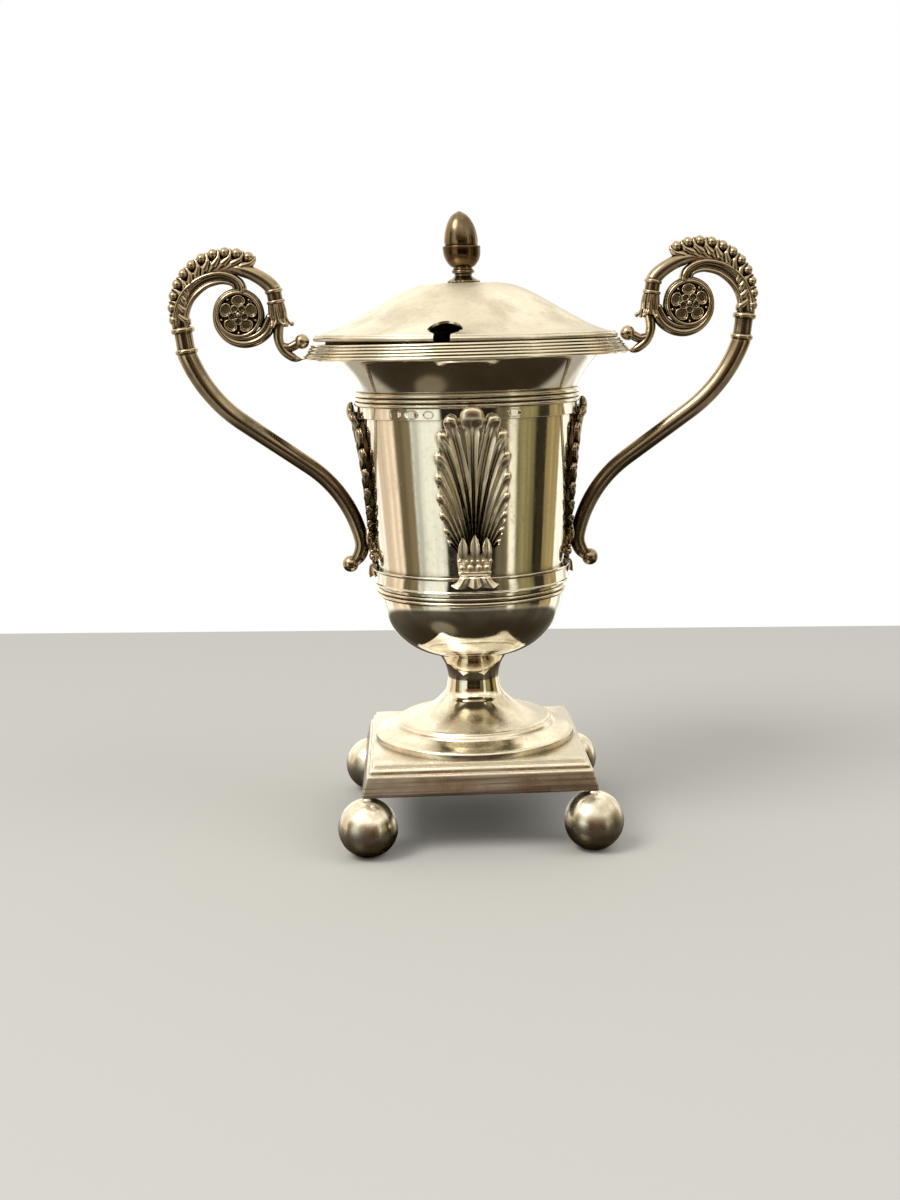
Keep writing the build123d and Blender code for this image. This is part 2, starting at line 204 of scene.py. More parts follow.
# ---- Meshes ----------------------------------------------------------------------
def skin(rings, ends=None, loop=False):
    """Vertices and faces over closed rings; the ends are closed to a point each."""
    rings = np.asarray(rings, float)
    n, m, _ = rings.shape
    verts = rings.reshape(-1, 3).tolist()
    faces = []
    for i in range(n if loop else n - 1):
        j = (i + 1) % n
        for k in range(m):
            q = (k + 1) % m
            faces.append((i * m + k, i * m + q, j * m + q, j * m + k))
    if not loop:
        first, last = ends if ends is not None else (rings[0].mean(0), rings[-1].mean(0))
        verts += [list(first), list(last)]
        a, b = n * m, n * m + 1
        for k in range(m):
            q = (k + 1) % m
            faces.append((a, q, k))
            faces.append((b, (n - 1) * m + k, (n - 1) * m + q))
    return verts, faces


def merged(*shapes):
    verts, faces = [], []
    for v, f in shapes:
        start = len(verts)
        verts += list(v)
        faces += [tuple(i + start for i in face) for face in f]
    return verts, faces


def mapped(shape, place):
    return [place(*v) for v in shape[0]], shape[1]


def mirrored(shape):
    return [(-v[0], v[1], v[2]) for v in shape[0]], [f[::-1] for f in shape[1]]


def lathe(outline, segments=256, closed=True):
    """Outline of (radius, height) turned about Z; an open one starts and ends on the axis."""
    turn = np.arange(segments) * TAU / segments
    body = outline if closed else outline[1:-1]
    rings = [np.stack((r * np.cos(turn), r * np.sin(turn), np.full(segments, z)), axis=1)
             for r, z in body]
    if closed:
        return skin(rings, loop=True)
    return skin(rings, ends=((0, 0, outline[0][1]), (0, 0, outline[-1][1])))


def on_line(low, high):
    """Places a turned shape on the line from low to high in the XZ plane."""
    way = np.array((high[0] - low[0], 0, high[1] - low[1]), float)
    way /= np.linalg.norm(way)
    side = np.array((way[2], 0, -way[0]))
    start = np.array((low[0], 0, low[1]), float)
    return lambda x, y, z: tuple(start + side * x + np.array((0, 1, 0)) * y + way * z)


def ball(centre, radius, around=24, rows=14):
    turn = [math.pi * (i + 1) / rows - math.pi / 2 for i in range(rows - 1)]
    rings = [[(centre[0] + radius * math.cos(t) * math.cos(a),
               centre[1] + radius * math.cos(t) * math.sin(a),
               centre[2] + radius * math.sin(t))
              for a in (TAU * k / around for k in range(around))] for t in turn]
    return skin(rings, ends=((centre[0], centre[1], centre[2] - radius),
                             (centre[0], centre[1], centre[2] + radius)))


CAP_TURNS = (0.45, 0.85, 1.2, 1.45)     # angles of the rings over a rounded end


def tube(path, radius, deep=1.0, around=24, section=None):
    """Tube along a path in the XZ plane. radius is a number or one for each point.

    deep is the depth along Y as a share of the width. section(angle) scales the
    radius round the tube, with angle 0 on the left of the path.
    """
    p = np.array([q[:2] for q in path], float)
    r = np.broadcast_to(np.asarray(radius, float), (len(p),))
    d = np.gradient(p, axis=0)
    d /= np.linalg.norm(d, axis=1)[:, None]
    start = [(p[0] - d[0] * r[0] * math.sin(t), d[0], r[0] * math.cos(t)) for t in CAP_TURNS[::-1]]
    end = [(p[-1] + d[-1] * r[-1] * math.sin(t), d[-1], r[-1] * math.cos(t)) for t in CAP_TURNS]
    rings = []
    for centre, way, size in start + list(zip(p, d, r)) + end:
        ring = []
        for k in range(around):
            t = TAU * k / around
            s = size * (section(t) if section else 1.0)
            across = s * math.cos(t)
            ring.append((centre[0] - way[1] * across, deep * s * math.sin(t),
                         centre[1] + way[0] * across))
        rings.append(ring)
    return skin(rings)


def open_mesh(name, shape):
    """New mesh of a shape, and the bmesh it is worked on in, with its faces turned outwards."""
    mesh = bpy.data.meshes.new(name)
    mesh.from_pydata([tuple(v) for v in shape[0]], [], shape[1])
    work = bmesh.new()
    work.from_mesh(mesh)
    bmesh.ops.recalc_face_normals(work, faces=work.faces)
    return mesh, work

def close_mesh(name, mesh, work):
    """Object of a mesh whose work is done."""
    work.to_mesh(mesh)
    work.free()
    piece = bpy.data.objects.new(name, mesh)
    bpy.context.scene.collection.objects.link(piece)
    return piece

def make(name, shape, body, material, nodes, crease, ripple=None, weighted=False):
    """A piece of the object from a shape in millimetres."""
    mesh, work = open_mesh(name, shape)
    if ripple:
        amount, size, seed = ripple
        shift = Vector((seed * 7.3, seed * 3.1, seed * 1.7))
        work.normal_update()
        moves = [v.normal * (amount * noise.noise(v.co / size + shift)) for v in work.verts]
        for v, move in zip(work.verts, moves):
            v.co += move
    bmesh.ops.scale(work, vec=(MM, MM, MM), verts=work.verts)
    piece = close_mesh(name, mesh, work)
    mesh.polygons.foreach_set("use_smooth", [True] * len(mesh.polygons))
    mesh.set_sharp_from_angle(angle=math.radians(crease))
    mesh.materials.append(material)
    if weighted:
        even = piece.modifiers.new("even_normals", "WEIGHTED_NORMAL")
        even.keep_sharp = True
    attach(piece, body)
    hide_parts(*nodes)


# ---- Materials -------------------------------------------------------------------
def empty_tree(owner):
    """Cleared node tree of a material or a world."""
    owner.use_nodes = True
    owner.node_tree.nodes.clear()
    return owner.node_tree

def add(tree, kind, inputs=None, **settings):
    """New node, with its input sockets linked or set."""
    node = tree.nodes.new(kind)
    for key, value in settings.items():
        setattr(node, key, value)
    for socket, value in (inputs or {}).items():
        if isinstance(value, bpy.types.NodeSocket):
            tree.links.new(value, node.inputs[socket])
        else:
            node.inputs[socket].default_value = value
    return node


def show(tree, shader, output="ShaderNodeOutputMaterial"):
    """Joins the finished shader to the tree's output."""
    tree.links.new(shader.outputs[0], add(tree, output).inputs[0])

def calc(tree, operation, a, b, clamp=False):
    node = add(tree, "ShaderNodeMath", {0: a, 1: b}, operation=operation, use_clamp=clamp)
    return node.outputs[0]


def spread(tree, value, low, high, to_low=0.0, to_high=1.0):
    node = add(tree, "ShaderNodeMapRange", {0: value, 1: low, 2: high, 3: to_low, 4: to_high},
               interpolation_type="SMOOTHSTEP")
    return node.outputs[0]


def grain(tree, at, scale, detail=4.0, stretch=None):
    if stretch:
        at = add(tree, "ShaderNodeMapping", {"Vector": at, "Scale": stretch}).outputs[0]
    return add(tree, "ShaderNodeTexNoise", {"Vector": at, "Scale": scale, "Detail": detail,
                                            "Roughness": 0.6}).outputs[0]


def blend_colour(tree, factor, a, b):
    node = add(tree, "ShaderNodeMix", data_type="RGBA")
    for socket, value in ((0, factor), (6, a), (7, b)):
        if isinstance(value, bpy.types.NodeSocket):
            tree.links.new(value, node.inputs[socket])
        else:
            node.inputs[socket].default_value = value
    return node.outputs[2]


def bump(tree, height, depth_mm, under=None):
    inputs = {"Height": height, "Strength": 1.0, "Distance": depth_mm * MM}
    if under is not None:
        inputs["Normal"] = under
    return add(tree, "ShaderNodeBump", inputs).outputs[0]


def silver(name, bright, dark, tarnish, clouds, cavity, rough, rough_more, wave, brushed, worn=0.0,
           pits=0.0, cavity_mm=1.6, gloss_from=None, edge_at=(0.505, 0.56), darker_low=None):
    """Old silver: bright metal under patina that gathers in clouds and in hollows; the darkening in
    hollows comes from occlusion and is also painted shade.

    tarnish, clouds, cavity and worn say how far all of it, its clouds, its hollows and its
    edges go from bright to dark or back. wave, brushed and pits are bump depths in
    millimetres. gloss_from is the range of heights where the metal turns glossy. The last argument
    gives the heights below which the colour turns darker, in fine level lines, and by how much.
    """
    material = bpy.data.materials.new(name)
    tree = empty_tree(material)
    at = add(tree, "ShaderNodeTexCoord").outputs["Object"]
    cloud = spread(tree, grain(tree, at, 75.0, 6.0), 0.38, 0.68)
    speck = spread(tree, grain(tree, at, 850.0, 3.0), 0.45, 0.75)
    # Painted shade: ambient occlusion darkens the colour in hollows, over the patina there.
    open_sky = add(tree, "ShaderNodeAmbientOcclusion", {"Distance": cavity_mm * MM},
                   samples=6).outputs["AO"]
    hollow = spread(tree, open_sky, 0.97, 0.35)
    edge = spread(tree, add(tree, "ShaderNodeNewGeometry").outputs["Pointiness"], *edge_at)
    # The darkening adds patina, clouds, specks and the painted shade in hollows, and lifts on worn edges.
    dirt_and_shade = calc(tree, "ADD", calc(tree, "MULTIPLY", cloud, clouds), tarnish)
    dirt_and_shade = calc(tree, "ADD", dirt_and_shade, calc(tree, "MULTIPLY", hollow, cavity))
    dirt_and_shade = calc(tree, "ADD", dirt_and_shade, calc(tree, "MULTIPLY", speck, 0.12))
    dirt_and_shade = calc(tree, "SUBTRACT", dirt_and_shade, calc(tree, "MULTIPLY", edge, worn), clamp=True)
    height = add(tree, "ShaderNodeSeparateXYZ", {0: at}).outputs[2]
    # Darker towards the bottom, in fine level lines, fading out between two heights.
    if darker_low:
        low_down = spread(tree, height, darker_low[1] * MM, darker_low[0] * MM, 0.0, darker_low[2])
        lines = spread(tree, grain(tree, at, 1.0, 4.0, (25.0, 25.0, 1500.0)), 0.36, 0.64, 0.45, 1.5)
        dirt_and_shade = calc(tree, "ADD", dirt_and_shade, calc(tree, "MULTIPLY", low_down, lines), clamp=True)
    colour = blend_colour(tree, dirt_and_shade, (*bright, 1), (*dark, 1))
    streak = grain(tree, at, 1.0, 5.0, (60.0, 60.0, 2600.0))
    dull = calc(tree, "MULTIPLY", calc(tree, "ADD", cloud, dirt_and_shade), rough_more)
    dull = calc(tree, "ADD", dull, rough)
    dull = calc(tree, "ADD", dull, calc(tree, "MULTIPLY", speck, 0.06), clamp=True)
    if gloss_from:
        dull = calc(tree, "MULTIPLY", dull, spread(tree, height, gloss_from[0] * MM,
                                                   gloss_from[1] * MM, 1.0, 0.15))
    normal = bump(tree, grain(tree, at, 110.0, 2.0), wave)
    normal = bump(tree, streak, brushed, normal)
    if pits:
        pit = spread(tree, grain(tree, at, 1300.0, 2.0), 0.72, 0.60)
        normal = bump(tree, pit, pits, normal)
    shader = add(tree, "ShaderNodeBsdfPrincipled",
                 {"Base Color": colour, "Metallic": 1.0, "Roughness": dull, "Normal": normal})
    show(tree, shader)
    return material


WHITE = (0.90, 0.87, 0.79)
CREAM = (0.86, 0.80, 0.67)
WARM = (0.74, 0.66, 0.52)
OLIVE = (0.30, 0.26, 0.17)
BROWN = (0.115, 0.085, 0.055)
BLACK = (0.035, 0.026, 0.018)

POLISHED = silver("polished_silver", WHITE, OLIVE, tarnish=0.0, clouds=0.08, cavity=0.6, rough=0.035,
                  rough_more=0.07, wave=0.022, brushed=0.0010)
REEDED = silver("reeded_silver", (0.88, 0.81, 0.65), BROWN, tarnish=0.06, clouds=0.16, cavity=1.7,
                worn=0.3, rough=0.11, rough_more=0.12, wave=0.006, brushed=0.0008, cavity_mm=0.8)
SATIN = silver("satin_silver", CREAM, OLIVE, tarnish=0.0, clouds=0.30, cavity=0.5, rough=0.25,
               rough_more=0.20, wave=0.040, brushed=0.0015, pits=0.002)
FOOT = silver("foot_silver", (0.94, 0.87, 0.72), (0.125, 0.075, 0.042), tarnish=0.0, clouds=0.16,
              cavity=0.5, rough=0.17, rough_more=0.18, wave=0.016, brushed=0.0012, pits=0.002,
              gloss_from=(31.5, 35), darker_low=(PLINTH_LOW + 4.6, PLINTH_LOW + 5.4, 0.50))
BALL = silver("ball_silver", (0.96, 0.90, 0.77), BROWN, tarnish=0.0, clouds=0.36, cavity=0.4,
              rough=0.18, rough_more=0.16, wave=0.045, brushed=0.0004, pits=0.008)
# Dark cast silver for the handles; on the side palmettes its darkness is painted shade.
CAST_AND_SHADE = silver("cast_silver_and_painted_shade", (0.50, 0.40, 0.27), BLACK, tarnish=0.32, clouds=0.40, cavity=1.2, worn=1.2,
              rough=0.12, rough_more=0.12, wave=0.010, brushed=0.0004, pits=0.002, cavity_mm=1.4)
RELIEF = silver("relief_silver", (0.97, 0.88, 0.70), BLACK, tarnish=0.14, clouds=0.22, cavity=1.9,
                worn=2.6, rough=0.25, rough_more=0.10, wave=0.004, brushed=0.0004, pits=0.001,
                cavity_mm=0.6, edge_at=(0.501, 0.522))
FLOWER = silver("flower_silver", (0.64, 0.54, 0.38), BLACK, tarnish=0.25, clouds=0.20, cavity=1.1,
                worn=1.6, rough=0.18, rough_more=0.12, wave=0.004, brushed=0.0004, pits=0.001,
                cavity_mm=0.8)
FINIAL = silver("finial_silver", (0.40, 0.30, 0.18), BLACK, tarnish=0.30, clouds=0.35, cavity=0.9,
                worn=0.6, rough=0.08, rough_more=0.12, wave=0.012, brushed=0.0006, pits=0.0015)
DARK_CUP = silver("cup_silver", (0.15, 0.092, 0.042), BLACK, tarnish=0.25, clouds=0.40, cavity=0.6,
                  worn=1.0, rough=0.12, rough_more=0.12, wave=0.012, brushed=0.0006, pits=0.002)
# Darker silver for parts inside the rim and under the lid: tarnish, and painted shade where they sit in
# the dark.
INSIDE_TARNISH_AND_SHADE = silver("inside_silver_tarnish_and_shade", WARM, BLACK, tarnish=0.55, clouds=0.35, cavity=0.7, rough=0.35,
                rough_more=0.2, wave=0.02, brushed=0.002)


# ---- Base ------------------------------------------------------------------------
SIDE_STEPS, CORNER_STEPS = 36, 6
GUSSET_AT, GUSSET_HALF = 26.1, 3.2      # plates in the plinth's corners, over the ball feet

def square_ring(half, height, corner):
    """Ring of points round a square with rounded corners, the same count for any size."""
    points = []
    flat = half - corner
    for side in range(4):
        turn = side * TAU / 4
        c, s = math.cos(turn), math.sin(turn)
        run = [(half, -flat + 2 * flat * i / SIDE_STEPS) for i in range(SIDE_STEPS)]
        run += [(flat + corner * math.cos(t), flat + corner * math.sin(t))
                for t in (TAU / 4 * i / CORNER_STEPS for i in range(CORNER_STEPS))]
        points += [(x * c - y * s, x * s + y * c, height) for x, y in run]
    return points


def round_ring(like, radius, height):
    return [(radius * math.cos(t), radius * math.sin(t), height)
            for t in (math.atan2(p[1], p[0]) for p in like)]


def plinth():
    top = PLINTH_TOP
    low = PLINTH_LOW
    half = PLINTH_HALF
    profile = eased([
        (half - 1.2, low, 0), (half, low, 0.25), (half - 0.15, low + 0.75, 0.2),
        (half - 1.25, low + 4.9, 0.5), (half - 1.5, low + 5.3, 0.15),
        (half - 1.9, low + 5.35, 0.12), (half - 2.1, low + 6.3, 0.4), (half - 2.5, low + 6.9, 0.12),
        (half - 2.8, low + 6.95, 0.1), (half - 3.1, top, 0.22), (half - 4.5, top, 0)])[:-1]
    inside = [(half - 4.3, top - SHEET), (half - 1.5, low + 1.5)]
    rings = [np.array(square_ring(h, z, 0.55)) for h, z in profile]
    outer = np.array(square_ring(half - 4.0, top, 0.55))
    inner = np.array(round_ring(outer, 16.0, top))
    rings += [outer * (1 - share) + inner * share for share in (0.2, 0.45, 0.7, 1.0)]
    rings.append(np.array(round_ring(outer, 16.0, top - SHEET)))
    rings += [np.array(square_ring(h, z, 0.4)) for h, z in inside]
    shell = skin(rings, loop=True)
    gussets = []
    for x in (-1, 1):
        for y in (-1, 1):
            block = [[(x * (GUSSET_AT + GUSSET_HALF * a), y * (GUSSET_AT + GUSSET_HALF * b), z)
                      for a, b in ((-1, -1), (1, -1), (1, 1), (-1, 1))]
                     for z in (low + 0.05, low + 0.9)]
            gussets.append(skin(block))
    make("plinth_block", merged(shell, *gussets), "vase", FOOT, ["plinth"],
         crease=50, ripple=(0.05, 11, 1))


def ball_feet():
    for seed, name in enumerate(("back_left", "back_right", "front_left", "front_right")):
        node = "ball_foot_" + name
        at = middle(node)
        low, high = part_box(node)
        radius = (high.x - low.x) / MM / 2
        centre = radius - 0.15
        neck = 1.3
        flat = math.sqrt(radius ** 2 - centre ** 2)
        start = math.asin(-centre / radius)
        end = math.acos((neck + 0.5) / radius)
        bulge = [(radius * math.cos(t), centre + radius * math.sin(t))
                 for t in np.linspace(start, end, 60)]
        outline = chain([(0, 0), (flat * 0.5, 0)], bulge,
                        [(neck + 0.15, bulge[-1][1] + 0.3), (neck, PLINTH_LOW - 0.05)],
                        [(neck * 0.5, PLINTH_LOW), (0, PLINTH_LOW)])
        shape = lathe(outline, 120, closed=False)
        shape = mapped(shape, lambda x, y, z: (x + at.x, y + at.y, z))
        make("ball_" + name, shape, "vase", BALL, [node], crease=35,
             ripple=(0.07, 5.0, seed + 3))


def foot():
    step = 21.3
    disc = eased([
        (FOOT_R, DISC_TOP, 0), (step - 0.35, DISC_TOP - 0.02, 0.2), (step, DISC_TOP - 0.45, 0.15),
        (step + 0.35, DISC_TOP - 1.35, 0.5), (DISC_R - 2.4, DISC_TOP - 2.3, 1.2),
        (DISC_R - 0.9, DISC_TOP - 3.0, 0.3), (DISC_R - 0.35, DISC_TOP - 3.1, 0.15),
        (DISC_R, DISC_TOP - 3.5, 0.25), (DISC_R, DISC_LOW, 0), (DISC_R - SHEET, DISC_LOW, 0),
        (DISC_R - SHEET, DISC_TOP - 4.0, 0.3), (FOOT_R, DISC_TOP - 2.2, 0)])
    make("foot_step", lathe(disc), "vase", FOOT, ["foot_disc"], crease=50,
         ripple=(0.03, 9, 2), weighted=True)
    top = DISC_TOP
    edge = [(FOOT_R, top - 0.9), (FOOT_R + 0.1, top - 0.45), (FOOT_R, top + 0.08),
            (FOOT_R - 0.5, top + 0.42)]
    flare = arc3((FOOT_R - 0.5, top + 0.42), (13.3, 31.1), (8.9, 34.7), 30)
    waist = arc3((8.9, 34.7), (7.5, 36.4), (7.05, 38.3), 14)
    throat = arc3((7.05, 38.3), (8.05, 44.5), (10.0, STEM_TOP), 26)
    outer = chain(edge, flare, waist, throat)
    inner = beside(chain(flare, waist, throat), SHEET)
    make("foot_trumpet", lathe(chain(outer, inner[::-1])), "vase", FOOT,
         ["foot_stem"], crease=60, ripple=(0.03, 8, 4))


# ---- Vase ------------------------------------------------------------------------
def vase():
    floor = [(0, BODY_LOW), (4, BODY_LOW), (8, BODY_LOW), (10.2, BODY_LOW)]
    under = arc3((10.2, BODY_LOW), (14.5, 48.25), (18.4, 50.8), 16)
    way = np.subtract(under[-1], under[-2])
    side, _ = leave(under[-1], way, (wall_r(BOWL_TOP), BOWL_TOP), 26)
    wall = [(wall_r(h), h) for h in np.linspace(BOWL_TOP, RINGS_HIGH, 60)]
    neck = arc3((wall_r(RINGS_HIGH), RINGS_HIGH), (30.9, 121.0), (34.0, 124.8), 24)
    turn, _ = leave(neck[-1], np.subtract(neck[-1], neck[-2]), (36.4, BODY_TOP - SHEET), 8)
    lip = [(38, BODY_TOP - SHEET), (40, BODY_TOP - SHEET), (LIP_R - 0.3, BODY_TOP - SHEET)]
    outer = chain(floor, under, side, wall, neck, turn, lip)
    edge = [(LIP_R, BODY_TOP - SHEET + 0.2), (LIP_R, BODY_TOP - 0.2), (LIP_R - 0.3, BODY_TOP)]
    inner = beside(outer, SHEET)[::-1][1:]
    inner[-1] = (0, BODY_LOW + SHEET)
    outline = chain(outer, edge, inner)
    make("vase_wall", lathe(outline, 320, closed=False), "vase", POLISHED,
         ["vase_body"], crease=60, ripple=(0.02, 14, 5))


def ring_piece(name, outline, node, material):
    """Moulding or band turned round the vase."""
    make(name, lathe(outline, 320), "vase", material, [node], crease=35)


def punch(u, wide, tall):
    """Blank oval struck in the upper band, u millimetres round from the front."""
    middle_h = (UPPER_LOW + UPPER_HIGH) / 2
    rows = []
    for share, d in ((1.12, -0.05), (1.10, 0.05), (1.0, 0.15), (0.88, 0.14), (0.78, 0.04), (0.4, 0.03)):
        ring = []
        for k in range(40):
            a = TAU * k / 40
            turn = (u + wide * share * math.cos(a)) / UPPER_R
            r = UPPER_R + d
            ring.append((r * math.sin(turn), -r * math.cos(turn), middle_h + tall * share * math.sin(a)))
        rows.append(ring)
    return skin(rows)


def rings():
    corners = eased([(RIM_R, RIM_LOW, 0), (38.9, RIM_TOP, 0.3), (36.8, RIM_TOP, 0.3),
                     (36.8, BODY_TOP, 0), (LIP_R + 0.05, BODY_TOP, 0), (LIP_R + 0.05, RIM_LOW, 0)])
    front = reeds((RIM_R - 0.15, RIM_LOW), (39.6, RIM_TOP), 5, swell=0.36)
    ring_piece("rim_reeds", chain(front, corners[1:]), "rim_moulding", REEDED)
    out = wall_r(RINGS_LOW) + 0.75
    front = reeds((out, RINGS_LOW), (out, RINGS_HIGH), 3, swell=0.38)
    back = [(wall_r(RINGS_HIGH) - 0.1, RINGS_HIGH), (wall_r(RINGS_LOW) - 0.1, RINGS_LOW)]
    ring_piece("neck_reeds", chain(front, back), "neck_rings", REEDED)
    band = eased([(wall_r(UPPER_LOW) - 0.1, UPPER_LOW, 0), (UPPER_R, UPPER_LOW, 0.18),
                  (UPPER_R, UPPER_HIGH, 0), (wall_r(UPPER_HIGH) - 0.1, UPPER_HIGH, 0)])
    marks = [punch(u, 1.9, 1.0) for u in (-20.5, -15.6, 10.9)] + [punch(-10.9, 1.3, 0.9)]
    make("upper_strip", merged(lathe(band, 320), *marks), "vase", POLISHED,
         ["upper_band"], crease=35)
    flat = BAND_R - 0.35
    band = eased([
        (wall_r(BAND_LOW) - 0.1, BAND_LOW, 0), (BAND_R, BAND_LOW, 0.2), (BAND_R, BAND_LOW + 0.55, 0.2),
        (flat, BAND_LOW + 0.75, 0.15), (flat + 0.02, BAND_HIGH - 0.75, 0.15),
        (BAND_R + 0.1, BAND_HIGH - 0.5, 0.18), (BAND_R + 0.1, BAND_HIGH, 0.2),
        (wall_r(BAND_HIGH) - 0.1, BAND_HIGH, 0)])
    ring_piece("lower_strip", band, "lower_band", POLISHED)
    out = wall_r(REED_LOW) + 0.3
    front = reeds((out, REED_LOW), (out, REED_HIGH), 2, swell=0.36)
    back = [(wall_r(REED_HIGH) - 0.1, REED_HIGH), (wall_r(REED_LOW) - 0.1, REED_LOW)]
    ring_piece("bowl_reeds", chain(front, back), "lower_reeds", REEDED)


# ---- Palmettes -------------------------------------------------------------------
def back_r(h):
    """Radius that the palmette lies on: the wall and, over the bands, their faces."""
    over_top = soft((h - UPPER_LOW + 1.2) / 1.2) * (UPPER_R - wall_r(UPPER_LOW))
    over_foot = soft((BAND_HIGH + 1.2 - h) / 1.2) * (BAND_R - wall_r(BAND_HIGH))
    return wall_r(h) + over_top + over_foot


def on_wall(u, h, d):
    """Point u across, at height h, d proud of the wall, for the front palmette."""
    r = back_r(h)
    return ((r + d) * math.sin(u / r), -(r + d) * math.cos(u / r), h)


def grooved(s):
    """Height of a leaf's face across its width: raised borders and a hollow between."""
    return math.sqrt(max(0, 1 - abs(s) ** 4)) * (0.35 + 0.65 * min(1, (s / 0.66) ** 2))


def trough(s):
    """A hollow between two sharp borders, each shared with the lobe beside it."""
    return min(0.94, 0.18 + 0.80 * abs(s) ** 1.7)


def ribbed(s):
    """The same with a fine rib along the middle of the hollow."""
    return trough(s) + 0.55 * max(0, 1 - abs(s) / 0.22)


def leaf(path, widths, heights, back, face=grooved, across=13, full=0.0):
    """Leaf along a path of (u, h, d) points, closed at both ends.

    full is the share of a plain rounded face that takes the place of face.
    """
    p = np.array(path, float)
    back = np.broadcast_to(np.asarray(back, float), (len(p),))
    full = np.broadcast_to(np.asarray(full, float), (len(p),))
    t = np.gradient(p, axis=0)
    t /= np.linalg.norm(t, axis=1)[:, None]
    rings = []
    side = np.array((1.0, 0.0, 0.0))
    for i in range(len(p)):
        flat = np.array((t[i][1], -t[i][0], 0))
        if np.linalg.norm(flat) > 0.3:
            flat /= np.linalg.norm(flat)
            side = flat if i == 0 or flat @ side > 0 else -flat
        up = np.cross(side, t[i])
        up /= np.linalg.norm(up)
        ring = []
        for s in np.linspace(-1, 1, across):
            rise = face(s) * (1 - full[i]) + math.sqrt(1 - s * s) * full[i]
            ring.append(p[i] + side * (widths[i] * s) + up * (heights[i] * rise))
        for s in np.linspace(0.8, -0.8, across // 2):
            depth = heights[i] * back[i] * math.sqrt(1 - s * s)
            ring.append(p[i] + side * (widths[i] * s) - up * depth)
        rings.append(ring)
    return skin(rings)


FAN_LOW = 76.6
LOBE_TIPS = [(5.1, 110.3), (7.3, 106.4), (8.1, 101.4), (8.25, 96.4), (8.05, 91.5), (7.5, 87.0),
             (6.7, 83.2), (5.9, 80.3)]
CENTRE_TIP = 111.6


def centre_half(h):
    """Half width of the middle lobe."""
    return ramp(h, (FAN_LOW, 0.22), (85, 0.45), (95, 0.85), (104, 1.3), (108.0, 1.6), (110.4, 2.2),
                (CENTRE_TIP, 2.3))


def lobe_line(i, h):
    """Distance of lobe i from the middle at height h."""
    tip_u, tip_h = LOBE_TIPS[i]
    share = i / (len(LOBE_TIPS) - 1)
    power = 1.12 + 0.75 * (1 - share) ** 3
    root = 0.42 + 0.40 * i
    t = min(1, max(0, (h - FAN_LOW) / (tip_h - FAN_LOW)))
    return root + (tip_u - root) * t ** power


def lobe(line, half_at, top, side, bulb, face):
    """One lobe of the fan, from its root to a rounded tip that stands proud and curls out."""
    body, tip_rows = 36, 12
    path, widths, heights, full, backs = [], [], [], [], []
    for i in range(body + 1):
        t = i / body
        h = FAN_LOW + (top - FAN_LOW) * t
        path.append((line(h), h, 0.45 + (bulb - 0.45) * soft((t - 0.62) / 0.38)))
        widths.append(half_at(h) * (1 + 0.22 * soft((t - 0.82) / 0.18)))
        heights.append(0.85 + 0.20 * soft((t - 0.6) / 0.4))
        full.append(soft((t - 0.88) / 0.12))
        backs.append(0.6 + 0.5 * soft((t - 0.85) / 0.15))
    end = np.array(path[-1])
    way = end - np.array(path[-3])
    way /= np.linalg.norm(way)
    size = widths[-1]
    for i in range(1, tip_rows + 1):
        a = math.pi / 2 * i / tip_rows
        drop = 0.35 * size * (1 - math.cos(a))
        path.append(tuple(end + way * (0.95 * size * math.sin(a)) - np.array((0, 0, drop))))
        widths.append(size * max(0.1, math.cos(a)))
        heights.append(1.05 * max(0.15, math.cos(a) ** 0.6))
        full.append(1.0)
        backs.append(1.1)
    placed = [(side * u, h, d) for u, h, d in path]
    return leaf(placed, widths, heights, back=backs, face=face, full=full, across=19)


def lobe_half(i):
    """Half width of lobe i at a height, so that it just meets the lobe inside it."""
    def half(h):
        if i == 0:
            gap = lobe_line(0, h) - centre_half(h)
        else:
            gap = (lobe_line(i, h) - lobe_line(i - 1, h)) / 2
        slope = (lobe_line(i, h) - lobe_line(i, h - 0.5)) / 0.5
        return max(0.20, min(1.35, 1.04 * gap * math.cos(math.atan(slope))))
    return half


def fan():
    shapes = []
    for i, (_, top) in enumerate(LOBE_TIPS):
        bulb = (1.6, 1.4, 1.3, 1.25, 1.2, 1.1, 1.0, 0.9)[i]
        for side in (-1, 1):
            face = ribbed if i < 2 else trough
            shapes.append(lobe(lambda h, i=i: lobe_line(i, h), lobe_half(i), top, side, bulb, face))
    shapes.append(lobe(lambda h: 0.0, centre_half, CENTRE_TIP, 1, 1.7, ribbed))
    return shapes


def fan_back():
    """Thin plate behind the lobes."""
    rings = []
    for h in np.linspace(76.0, 112.0, 60):
        half = ramp(h, (76, 3.4), (80, 5.2), (83, 6.0), (87, 7.0), (92, 7.7), (97, 8.0),
                    (102, 7.9), (107, 6.9), (110, 5.0), (112, 2.2))
        ring = [on_wall(half * s, h, 0.55) for s in np.linspace(-1, 1, 15)]
        ring += [on_wall(half * s, h, -0.15) for s in np.linspace(1, -1, 15)]
        rings.append(ring)
    return skin(rings)


def small_leaf(u, low, high, half):
    """Pointed oval leaf with a raised rim at the foot of the fan."""
    path, widths, heights = [], [], []
    for t in np.linspace(0, 1, 22):
        wide = math.sin(math.pi * min(1, 0.12 + 0.88 * t) ** 0.9) ** 0.75 if t < 1 else 0
        path.append((u, low + (high - low) * t, 1.0 + 0.35 * math.sin(math.pi * t)))
        widths.append(half * max(0.06, wide))
        heights.append(0.75 * max(0.15, wide) + 0.1)
    return leaf(path, widths, heights, back=0.9, across=15)


